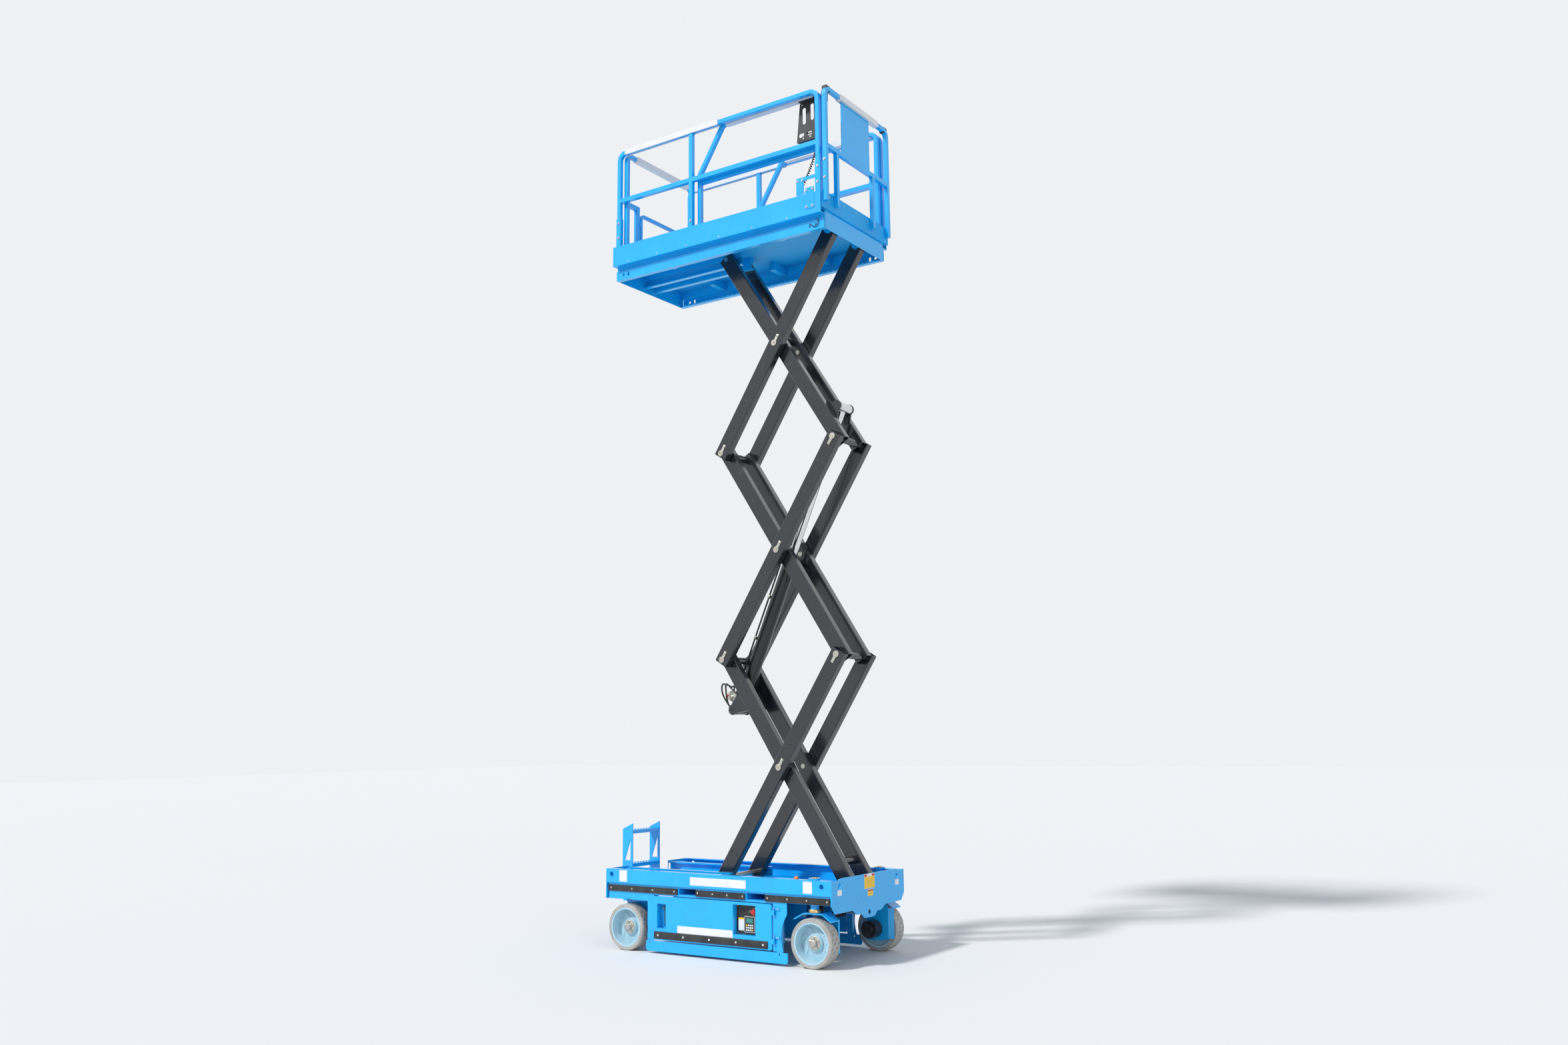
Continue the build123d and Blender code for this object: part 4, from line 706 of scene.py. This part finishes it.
class LIFT_OT_chassis(bpy.types.Operator):
    """Add the screws, signs, hinge pins, boxes and hoses of the chassis"""
    bl_idname = "lift.chassis"
    bl_label = "Chassis fittings"

    def execute(self, context):
        self.side_fittings()
        self.front_fittings()
        self.ladder_fittings()
        self.deck_fittings()
        return {"FINISHED"}

    def side_fittings(self):
        for name, side in SIDES:
            out = (0, side, 0)
            face = side * HALF_WIDTH
            bm = bmesh.new()
            for start, end in STRIPS:
                for share in (0.04, 0.35, 0.65, 0.96):
                    screw(bm, (start + (end - start) * share, face, 509), out, 7, 4.5, steps=20)
            for x in TIE_DOWNS:
                turned(bm, (x, face, 621), out, ((19.5, 0), (27, 0), (26, 2), (20.5, 2)), 40, material=1)
            pin_y = side * (HALF_WIDTH + 4)
            for z in HINGE_HEIGHTS:
                for low, high, radius, bevel in ((40, 45, 7, 1.2), (-25, -20.5, 5.5, 1)):
                    rod(bm, (HINGE_X, pin_y, z + low), (HINGE_X, pin_y, z + high), radius, sides=20,
                        round_by=bevel)
                for across in (18, 38):
                    screw(bm, (HINGE_X + across, side * (HALF_WIDTH - 2), z + 30.3), out, 5, 3, height=2.4)
            finished(f"side_screws_{name}", bm, ["zinc", "sky paint"], "chassis", smooth=True)
            bm = bmesh.new()
            block(bm, (39, face + side * 0.6, 602.5), (564, 1.2, 65), 0.3)
            for x, z, wide, tall in ((-964, 611, 84, 94), (909, 609, 84, 90)):
                block(bm, (x, face + side * 0.5, z), (wide, 1.0, tall), 0.2)
            finished(f"side_signs_{name}", bm, "white sign", "chassis")
            kingpin_x, kingpin_y = 1000 * AXLE_X, side * 1000 * WHEEL_Y
            bm = bmesh.new()
            turned(bm, (kingpin_x, kingpin_y, 677), (0, 0, 1), (
                (11, -2), (25, -2), (25, 3), (23, 5), (13, 5), (11, 3)), 40)
            finished(f"kingpin_bush_{name}", bm, "brass", "chassis", smooth=True)
            bm = bmesh.new()
            turned(bm, (kingpin_x, kingpin_y, 420), (0, 0, 1), (
                (45, 0), (48, 1), (48, 22), (46.6, 24), (45, 24)), 48)
            finished(f"kingpin_ring_{name}", bm, "brass", f"steer_{name}", smooth=True)

    def front_fittings(self):
        back = FRONT_FACE + 0.6
        face = FRONT_FACE + 1.4
        bm = bmesh.new()
        block(bm, (back, 5, 619), (1.2, 164, 114), 0.3)
        for y, z, wide, tall, material in (
                (-54, 664, 42, 17, 1), (64, 664, 42, 17, 1), (5, 609, 160, 90, 2), (16, 545, 82, 12, 1),
                (16, 520, 82, 36, 2)):
            block(bm, (face, y, z), (0.8, wide, tall), 0.2, material=material)
        block(bm, (back, 16, 530), (1.2, 88, 50), 0.3)
        for y in (-452, 452):
            block(bm, (back, y, 570), (1.2, 64, 43), 0.3)
        finished("front_labels", bm, ["white sign", "red plastic", "yellow sign"], "chassis")
        bm = bmesh.new()
        block(bm, (1000, 30, 424), (150, 250, 96), 6)
        for y in (-70, 130):
            block(bm, (1000, y, 474), (30, 24, 8), 1)
        finished("front_valve_box", bm, "black plastic", "chassis")
        bm = bmesh.new()
        line = smooth_line([place(*spot) for spot in (
            (1040, -130, 452), (1066, -190, 432), (1078, -150, 398), (1080, -40, 380), (1080, 90, 384),
            (1074, 190, 410), (1050, 230, 448))], 22)
        add_tube(bm, line, [0.0125 if step % 2 else 0.0155 for step in range(len(line))], 16)
        finished("corrugated_hose", bm, "hose rubber", "chassis")

    def ladder_fittings(self):
        stud = ((7, -1), (7, 0), (4.4, 3), (3.2, 3), (3.2, -1))
        bm = bmesh.new()
        for z in STEP_HEIGHTS:
            for x in range(-1282, -1185, 32):
                for y in range(-152, 153, 38):
                    turned(bm, (x, y, z + 15), (0, 0, 1), stud, 14)
        finished("step_studs", bm, "sky paint", "chassis")

    def deck_fittings(self):
        bm = bmesh.new()
        block(bm, (-520, -440, 545), (190, 120, 122), 5)
        block(bm, (-520, -440, 609), (150, 90, 8), 2)
        block(bm, (760, 400, 540), (150, 120, 112), 5)
        finished("charger_box", bm, "black plastic", "chassis")
        bm = bmesh.new()
        hose(bm, ((-425, -440, 554), (-330, -430, 554), (-120, -400, 554), (120, -395, 554), (540, -380, 554),
                  (700, -350, 530), (880, -300, 520), (960, -230, 540)), 8)
        hose(bm, ((-425, -462, 554), (-330, -452, 554), (-120, -422, 554), (120, -417, 554), (540, -402, 554),
                  (700, -370, 530), (890, -320, 520), (985, -240, 540)), 8)
        hose(bm, ((-615, -430, 520), (-700, -400, 500), (-860, -340, 498), (-1000, -330, 500),
                  (-1120, -330, 520)), 7)
        finished("chassis_hoses", bm, "hose rubber", "chassis", smooth=True)


class LIFT_OT_doors(bpy.types.Operator):
    """Add the door strips, signs, latches and the ground control panel"""
    bl_idname = "lift.doors"
    bl_label = "Doors"

    def execute(self, context):
        for name, side in SIDES:
            self.door_face(name, side)
            self.latch(name, side)
        self.keypad()
        self.switches()
        return {"FINISHED"}

    def door_face(self, name, side):
        face = side * HALF_WIDTH
        bm = bmesh.new()
        block(bm, (-43.5, face + side * 4, 151.5), (1151, 8, 57), 2)
        for x in (-575, -310, -43.5, 225, 490):
            screw(bm, (x, face + side * 8, 151.5), (0, side, 0), 8, 5, sunk=1, steps=20, material=1)
        finished(f"door_strip_{name}", bm, ["black plastic", "white sign"], f"tray_{name}",
                 smooth=True)
        bm = bmesh.new()
        block(bm, (-93, face + side * 0.6, 210), (564, 1.2, 58), 0.3)
        finished(f"door_sign_{name}", bm, "white sign", f"tray_{name}")

    def latch(self, name, side):
        x, z = LATCH
        out = (0, side, 0)
        floor = HALF_WIDTH - 56
        lever_y = side * (floor + 17)
        bm = bmesh.new()
        block(bm, (x + 18, side * (floor + 11), z), (40, 2, 178), 0.5, material=1)
        rod(bm, (x + 10, lever_y, z - 34), (x + 14, lever_y, z + 44), 5, sides=16, round_by=1.5)
        block(bm, (x + 11, side * (floor + 14), z), (22, 6, 30), 2)
        for up in (-78, 78):
            screw(bm, (x + 18, side * (floor + 12), z + up), out, 6, 4)
        turned(bm, (x - 20, side * (floor + 1), z + 60), out, ((12, 0), (12, 6), (9, 9), (0, 9)), 28)
        if side > 0:
            block(bm, (x + 20, side * (floor + 18), z + 10), (16, 14, 100), 3, material=1)
        for up in (84, -84):
            for across in (-34, 34):
                turned(bm, (x + across, side * floor, z + up), out, ((4, 0), (4, 1), (0, 2)), 14)
        finished(f"latch_trim_{name}", bm, ["zinc", "black plastic"], f"tray_{name}", smooth=True)

    def keypad(self):
        x, z = PANEL
        bm = bmesh.new()
        block(bm, (x + 30, PANEL_Y - 14, z - 36), (104, 3, 130), 1.2)
        block(bm, (x + 30, PANEL_Y - 15.6, z - 36), (88, 1.6, 114), 0.5, material=1)
        block(bm, (x + 30, PANEL_Y - 16.6, z - 6), (64, 1.4, 38), 0.4, material=2)
        for row in range(3):
            for column in range(4):
                yellow = (row, column) in ((0, 0), (2, 3))
                block(bm, (x + 3 + 18 * column, PANEL_Y - 17.4, z - 42 - 19 * row), (13, 2.4, 12), 0.8,
                      material=3 if yellow else 4)
        block(bm, (x - 62, PANEL_Y - 1.2, z - 40), (56, 1.4, 96), 0.4, material=4)
        block(bm, (x - 62, PANEL_Y - 2.0, z + 4), (56, 0.6, 14), 0.2, material=3)
        finished("keypad", bm, ["grey plastic", "black plastic", "teal screen", "yellow sign", "white sign"],
                 "tray_right")

    def switches(self):
        x, z = PANEL
        out = (0, -1, 0)
        row_z = z + 62
        bm = bmesh.new()
        turned(bm, (x + 72, PANEL_Y, row_z), out, (
            (21.6, 0), (31, 0), (31, 2.5), (29, 4), (21.6, 4)), 48, material=1)
        turned(bm, (x + 72, PANEL_Y - 15, row_z), out, (
            (0, 0), (22, 0), (23, 3), (23, 11), (20, 16), (12, 19), (0, 20)), 48)
        finished("stop_button", bm, ["red plastic", "yellow sign"], "tray_right", smooth=True)
        bm = bmesh.new()
        turned(bm, (x + 28, PANEL_Y, row_z), out, ((9.2, 0), (14, 0), (14, 3), (12, 8), (9.2, 10)), 36)
        block(bm, (x + 28, PANEL_Y - 15, row_z), (3, 16, 16), 1)
        turned(bm, (x - 40, PANEL_Y, row_z), out, ((0, 0), (7, 0), (7, 6), (5, 8), (0, 8)), 28, material=1)
        turned(bm, (x - 76, PANEL_Y, row_z), out, ((0, 0), (9, 0), (9, 4), (6, 6), (0, 6)), 28, material=1)
        for across in (-99, 99):
            for up in (-105, 105):
                screw(bm, (x + across, PANEL_Y, z + up), out, 5, 3)
        finished("panel_screws", bm, ["zinc", "black plastic"], "tray_right", smooth=True)


class LIFT_OT_scissors(bpy.types.Operator):
    """Add the pin keepers, plugs, hoses and pipes of the scissor stack"""
    bl_idname = "lift.scissors"
    bl_label = "Scissor fittings"

    def execute(self, context):
        hose_radius = 1000 * context.scene.lift_fittings.hose_radius
        for stage in range(1, STAGES + 1):
            self.keepers(stage)
            self.plugs("outer", stage)
            self.plugs("inner", stage)
        self.foot_loops(hose_radius)
        self.barrel_pipes(hose_radius)
        self.foot_valve()
        return {"FINISHED"}

    def keepers(self, stage):
        stations = [ARM_REACH / 2]
        if stage < STAGES:
            stations.append(ARM_REACH)
        if stage > 1:
            stations.append(0.0)
        bm = bmesh.new()
        for station in stations:
            x, z = arm_spot("outer", stage, station)
            lock_x, lock_z = arm_spot("outer", stage, station + (62 if station < ARM_REACH else -62))
            for side in (-1, 1):
                out = (0, side, 0)
                block(bm, ((x + lock_x) / 2, side * (PIN_FACE - 5), (z + lock_z) / 2), (96, 5, 26), 1.5,
                      math.radians(-RISE_ANGLE))
                bolt(bm, (lock_x, side * (PIN_FACE - 2.5), lock_z), out, 8)
                turned(bm, (x, side * PIN_FACE, z), out, ((0, 0), (5, 0), (5, 3), (3, 6), (0, 7)), 16,
                       material=1)
                turned(bm, (x, side * (PIN_FACE - 0.5), z), out, ((14, 0), (19, 0), (19, 2), (14, 2)), 36)
        finished(f"pin_keepers_{stage}", bm, ["zinc", "brass"], f"outer_{stage}", smooth=True)

    def plugs(self, kind, stage):
        plug = ((0, 0.2), (8, 0.2), (10, 1.4), (12, 0.8), (12, -1))
        face = (OUTER_Y if kind == "outer" else INNER_Y) + ARM_THICKNESS / 2
        bm = bmesh.new()
        for station in (230, 520, 860, 1290, 1630, 1920):
            for side in (-1, 1):
                for offset in (-30, 30) if station in (230, 1920) else (0,):
                    x, z = arm_spot(kind, stage, station, offset)
                    turned(bm, (x, side * face, z), (0, side, 0), plug, 24)
        finished(f"arm_plugs_{kind}_{stage}", bm, "black plastic", f"{kind}_{stage}",
                 smooth=True)

    def foot_loops(self, radius):
        rise = math.radians(RISE_ANGLE)
        gland = ((0, -1), (15, -1), (15, 6), (11, 9), (11, 16), (0, 16))
        bm = bmesh.new()
        for side in (-1, 1):
            for apart in (0, 1):
                gland_x, gland_z = arm_spot("inner", 1, 1965 - 70 * apart, -64)
                under_x, under_z = arm_spot("inner", 1, 1955 - 70 * apart, -118)
                swing = 40 * apart
                hose(bm, ((FOOT[0], side * 81, FOOT[1]), (FOOT[0] - 62, side * 82, FOOT[1] + 42),
                          (-262 + swing, side * 88, 2150), (-246 + swing, side * 98, 2226),
                          (under_x, side * 116, under_z), (gland_x, side * 122, gland_z)), radius)
                turned(bm, (gland_x, side * 122, gland_z), (-math.sin(rise), 0, -math.cos(rise)), gland, 6,
                       material=1)
        finished("foot_loops", bm, ["hose rubber", "zinc"], "inner_1", smooth=True)

    # Pipes and valve lie on the side that faces up when the stack is folded
    def barrel_pipes(self, radius):
        last = BARREL_LENGTH - 70
        bm = bmesh.new()
        for side in (-1, 1):
            route = [along_barrel(distance, PIPE_OFFSET + bend, side * 24)
                     for distance, bend in ((70, 0), (130, 0), (last - 60, 0), (last, 14))]
            hose(bm, route, radius, sides=14, steps=6)
        for distance in (260, 640, 1020):
            block(bm, along_barrel(distance, PIPE_OFFSET + 6, 0), (26, 84, 26), 3, CYLINDER_TURN, material=1)
        finished("barrel_pipes", bm, ["black paint", "zinc"], "barrel", smooth=True)

    def foot_valve(self):
        bm = bmesh.new()
        block(bm, along_barrel(84, PIPE_OFFSET - 14, 0), (78, 92, 84), 4, CYLINDER_TURN)
        for side in (-1, 1):
            rod(bm, along_barrel(84, PIPE_OFFSET - 14, side * 46),
                along_barrel(84, PIPE_OFFSET - 14, side * 66), 14, sides=6, round_by=1)
            rod(bm, along_barrel(100, PIPE_OFFSET - 50, side * 22),
                along_barrel(100, PIPE_OFFSET - 74, side * 22), 12, sides=6, round_by=1)
        for near, far, radius, bevel, material in ((52, 84, 11, 1.5, 0), (84, 100, 17, 3, 1)):
            rod(bm, along_barrel(60, PIPE_OFFSET - near, 0), along_barrel(60, PIPE_OFFSET - far, 0), radius,
                round_by=bevel, material=material)
        ring = ((BARREL_RADIUS + 6, -3), (BARREL_RADIUS + 9, 0), (BARREL_RADIUS + 6, 3))
        for distance in (BARREL_LENGTH - 56, BARREL_LENGTH - 8):
            turned(bm, along_barrel(distance, 0, 0), CYLINDER_WAY, ring, 64)
        finished("foot_valve", bm, ["zinc", "red plastic"], "barrel", smooth=True)


class LIFT_OT_platform(bpy.types.Operator):
    """Add the bolts, brackets, clamps and cables of the platform"""
    bl_idname = "lift.platform"
    bl_label = "Platform fittings"

    def execute(self, context):
        bolt_radius = 1000 * context.scene.lift_fittings.bolt_radius
        self.rail_bolts(bolt_radius)
        self.front_rail_bolts(bolt_radius)
        self.corner_clamps()
        self.cable_bracket()
        self.under_strips()
        self.holder_screws()
        self.platform_controls()
        self.control_cable()
        return {"FINISHED"}

    def rail_bolts(self, radius):
        bm = bmesh.new()
        for side in (-1, 1):
            for x in (MAIN_REAR, MAIN_FRONT):
                for up in (232, 372):
                    bolt(bm, (x, side * 550, DECK_TOP + up), (0, side, 0), radius)
            bolt(bm, (MID_POST, side * 549, DECK_TOP + 205), (0, side, 0), radius)
            for x in (-980, -640, -300, 60, 420, 780):
                screw(bm, (x, side * 554, BOARD_BOTTOM + 20), (0, side, 0), 6, 4, sunk=1)
        for across in (-30, 30):
            for up in (-74, 74):
                bolt(bm, (1016 + across, -558, BOARD_BOTTOM + 144 + up), (0, -1, 0), 8)
        for y in (-420, -150, 150, 420):
            screw(bm, (DECK_REAR, y, BOARD_BOTTOM + 150), (-1, 0, 0), 6, 4, sunk=1)
        finished("rail_bolts", bm, "zinc", "platform", smooth=True)

    def front_rail_bolts(self, radius):
        bm = bmesh.new()
        for y in (-430, -200, 0, 200, 430):
            screw(bm, (FRONT_POST - 20, y, BOARD_BOTTOM + 160), (1, 0, 0), 6, 4, sunk=1)
        for side in (-1, 1):
            for up in (260, 420):
                bolt(bm, (FRONT_POST, side * 540, DECK_TOP + up), (0, side, 0), radius)
        finished("front_rail_bolts", bm, "zinc", "extension", smooth=True)

    def corner_clamps(self):
        bm = bmesh.new()
        block(bm, (FRONT_POST - 6, -486, TOP_RAIL + 12), (50, 62, 50), 6)
        block(bm, (FRONT_POST - 42, -452, TOP_RAIL - 28), (44, 52, 96), 8)
        block(bm, (FRONT_POST - 6, 486, TOP_RAIL + 12), (50, 62, 50), 6)
        finished("corner_clamps", bm, "black plastic", "extension")

    def cable_bracket(self):
        face = -(SLIDE_RAIL_Y + 20)
        middle = DECK_UNDER + 245
        bm = bmesh.new()
        for x, up in ((856, 70), (904, 70), (856, -70), (904, -70), (1090, -79), (1090, 79)):
            bolt(bm, (x, face, middle + up), (0, -1, 0), 8)
        finished("bracket_bolts", bm, "zinc", "extension", smooth=True)
        bm = bmesh.new()
        hose(bm, ((1052, -505, 6062), (1068, -509, 6040), (1062, -509, 6004), (1030, -508, 5992),
                  (1000, -506, 6010), (988, -501, 6022)), 3.5)
        finished("frame_cable", bm, "hose rubber", "platform", smooth=True)

    def under_strips(self):
        bm = bmesh.new()
        for side in (-1, 1):
            block(bm, ((DECK_FRONT + DECK_REAR) / 2, side * 462, FRAME_BOTTOM + 8), (2200, 26, 6), 1)
            for x in range(DECK_REAR + 60, DECK_FRONT - 60, 52):
                block(bm, (x, side * 448, FRAME_BOTTOM + 12), (26, 8, 12), 1.5)
        finished("under_strips", bm, "sky paint", "platform")

    def holder_screws(self):
        face = -(SLIDE_RAIL_Y - 31)
        bm = bmesh.new()
        for across in (-72, 0, 72):
            bolt(bm, (HOLDER_X + across, face, HOLDER_LOW + 24), (0, -1, 0), 6)
        for across in (-80, 60):
            screw(bm, (HOLDER_X + across, face, TOP_RAIL - 40), (0, -1, 0), 7, 4, height=3.2, steps=20)
        finished("holder_screws", bm, "zinc", "extension", smooth=True)

    def platform_controls(self):
        y = 76 - SLIDE_RAIL_Y
        bm = bmesh.new()
        block(bm, (HOLDER_X - 18, y, HOLDER_LOW + 34), (150, 76, 58), 8)
        block(bm, (HOLDER_X - 18, y, HOLDER_LOW + 68), (120, 56, 14), 4, material=1)
        turned(bm, (HOLDER_X - 60, y, HOLDER_LOW + 72), (0, 0, 1), (
            (0, 0), (8, 0), (7, 34), (11, 40), (10, 54), (0, 58)), 28, material=1)
        turned(bm, (HOLDER_X + 20, y, HOLDER_LOW + 72), (0, 0, 1), (
            (0, 0), (15, 0), (15, 8), (11, 12), (0, 13)), 28, material=2)
        finished("platform_controls", bm, ["grey plastic", "black plastic", "red plastic"], "extension",
                 smooth=True)

    def control_cable(self):
        turns = 26
        coil = 0.0085
        girth = 0.0042
        # the share of the length over which the coil opens at either end
        opening = 0.06
        line = smooth_line([place(x, inset - SLIDE_RAIL_Y, HOLDER_LOW - share * (HOLDER_LOW - GLAND_TOP))
                            for x, inset, share in CORD_ROUTE], 60)
        lengths = [0.0]
        for first, second in zip(line, line[1:]):
            lengths.append(lengths[-1] + (second - first).length)
        route = []
        for (point, side, other), length in zip(frames(line), lengths):
            share = length / lengths[-1]
            reach = coil * min(1.0, share / opening, (1 - share) / opening)
            angle = math.tau * turns * share
            route.append(point + (side * math.cos(angle) + other * math.sin(angle)) * reach)
        bm = bmesh.new()
        add_tube(bm, route, girth, 8)
        piece = finished("control_coil", bm, "hose rubber", "extension", smooth=True,
                         hides=("control_cord",))
        length = sum((second - first).length for first, second in zip(route, route[1:]))


class LIFT_OT_stage(bpy.types.Operator):
    """Lay the floor, hang the lamps and set the camera at the photograph's place"""
    bl_idname = "lift.stage"
    bl_label = "Stage"

    def execute(self, context):
        self.floor(context.scene)
        self.sky(context.scene)
        self.lamps(context.scene)
        self.camera(context.scene)
        context.scene.view_settings.view_transform = "Standard"
        return {"FINISHED"}

    def floor(self, scene):
        bm = bmesh.new()
        bmesh.ops.create_grid(bm, x_segments=1, y_segments=1, size=60)
        mesh = bpy.data.meshes.new("floor")
        bm.to_mesh(mesh)
        bm.free()
        floor = bpy.data.objects.new("floor", mesh)
        scene.collection.objects.link(floor)
        pale = bpy.data.materials.new("Pale floor")
        pale.use_nodes = True
        shader = pale.node_tree.nodes["Principled BSDF"]
        shader.inputs["Base Color"].default_value = (0.8, 0.8, 0.79, 1)
        shader.inputs["Roughness"].default_value = 0.85
        mesh.materials.append(pale)

    def sky(self, scene):
        """A soft light all round, seen a little brighter by the camera and in reflections."""
        world = bpy.data.worlds.new("Studio")
        scene.world = world
        world.use_nodes = True
        tree = world.node_tree
        lights = tree.nodes["Background"]
        seen = tree.nodes.new("ShaderNodeBackground")
        for back, colour, strength in (
                (lights, (0.80, 0.87, 0.97, 1), 0.55), (seen, (0.86, 0.88, 0.9, 1), 1.0)):
            back.inputs["Color"].default_value = colour
            back.inputs["Strength"].default_value = strength
        ray = tree.nodes.new("ShaderNodeLightPath")
        either = maths(tree, "MAXIMUM", ray.outputs["Is Camera Ray"], ray.outputs["Is Glossy Ray"])
        pick = tree.nodes.new("ShaderNodeMixShader")
        for index, out in enumerate((either, lights.outputs["Background"], seen.outputs["Background"])):
            link(tree, out, pick.inputs[index])
        link(tree, pick.outputs["Shader"], tree.nodes["World Output"].inputs["Surface"])

    def lamps(self, scene):
        rows = (
            # name, energy, place, aim, how wide the sun looks in degrees
            ("key_sun", 2.6, (-4.0, -9.0, 12.0), (0, 0, 2.5), 6),
            ("fill_sun", 0.5, (9.0, -5.0, 6.0), (0, 0, 3.0), 40),
        )
        for name, energy, spot, aim, wide in rows:
            lamp = bpy.data.lights.new(name, "SUN")
            lamp.energy = energy
            lamp.angle = math.radians(wide)
            holder = bpy.data.objects.new(name, lamp)
            scene.collection.objects.link(holder)
            holder.location = spot
            holder.rotation_mode = "QUATERNION"
            holder.rotation_quaternion = (Vector(aim) - Vector(spot)).to_track_quat("-Z", "Y")

    def camera(self, scene):
        yaw, pitch, roll = (math.radians(turn) for turn in (CAMERA_YAW, CAMERA_PITCH, CAMERA_ROLL))
        ahead = Vector((-math.sin(yaw) * math.cos(pitch), math.cos(yaw) * math.cos(pitch), math.sin(pitch)))
        right = Vector((math.cos(yaw), math.sin(yaw), 0))
        up = right.cross(ahead)
        level_right = right * math.cos(roll) + up * math.sin(roll)
        level_up = up * math.cos(roll) - right * math.sin(roll)
        turn = Matrix((level_right, level_up, -ahead)).transposed().to_4x4()
        camera = bpy.data.cameras.new("camera")
        camera.sensor_width = 36.0
        camera.lens = CAMERA_LENS
        camera.clip_end = 200
        holder = bpy.data.objects.new("camera", camera)
        scene.collection.objects.link(holder)
        x, y, z = CAMERA_SPOT
        holder.matrix_world = Matrix.Translation((x + SHIFT, y, z)) @ turn
        scene.camera = holder


class LIFT_PT_panel(bpy.types.Panel):
    """List the settings and the steps in the sidebar"""
    bl_label = "Scissor lift"
    bl_idname = "LIFT_PT_panel"
    bl_space_type = "VIEW_3D"
    bl_region_type = "UI"
    bl_category = "Lift"

    def draw(self, context):
        column = self.layout.column(align=True)
        for setting in ("body", "arms", "rims", "tyres", "dust", "wear"):
            column.prop(context.scene.lift_paint, setting)
        for setting in ("bolt_radius", "hose_radius", "tread_steps"):
            column.prop(context.scene.lift_fittings, setting)
        for maker in MAKERS:
            column.operator(maker.bl_idname)


MAKERS = (LIFT_OT_stage, LIFT_OT_finishes, LIFT_OT_tyres, LIFT_OT_hubs, LIFT_OT_chassis, LIFT_OT_doors,
          LIFT_OT_scissors, LIFT_OT_platform)
CLASSES = (LiftPaint, LiftFittings, *MAKERS, LIFT_PT_panel)


def register():
    for item in CLASSES:
        bpy.utils.register_class(item)
    bpy.types.Scene.lift_paint = bpy.props.PointerProperty(type=LiftPaint)
    bpy.types.Scene.lift_fittings = bpy.props.PointerProperty(type=LiftFittings)


def unregister():
    del bpy.types.Scene.lift_fittings
    del bpy.types.Scene.lift_paint
    for item in reversed(CLASSES):
        bpy.utils.unregister_class(item)


def main():
    register()
    for maker in MAKERS:
        family, action = maker.bl_idname.split(".")
        getattr(getattr(bpy.ops, family), action)()


if __name__ == "__main__":
    main()
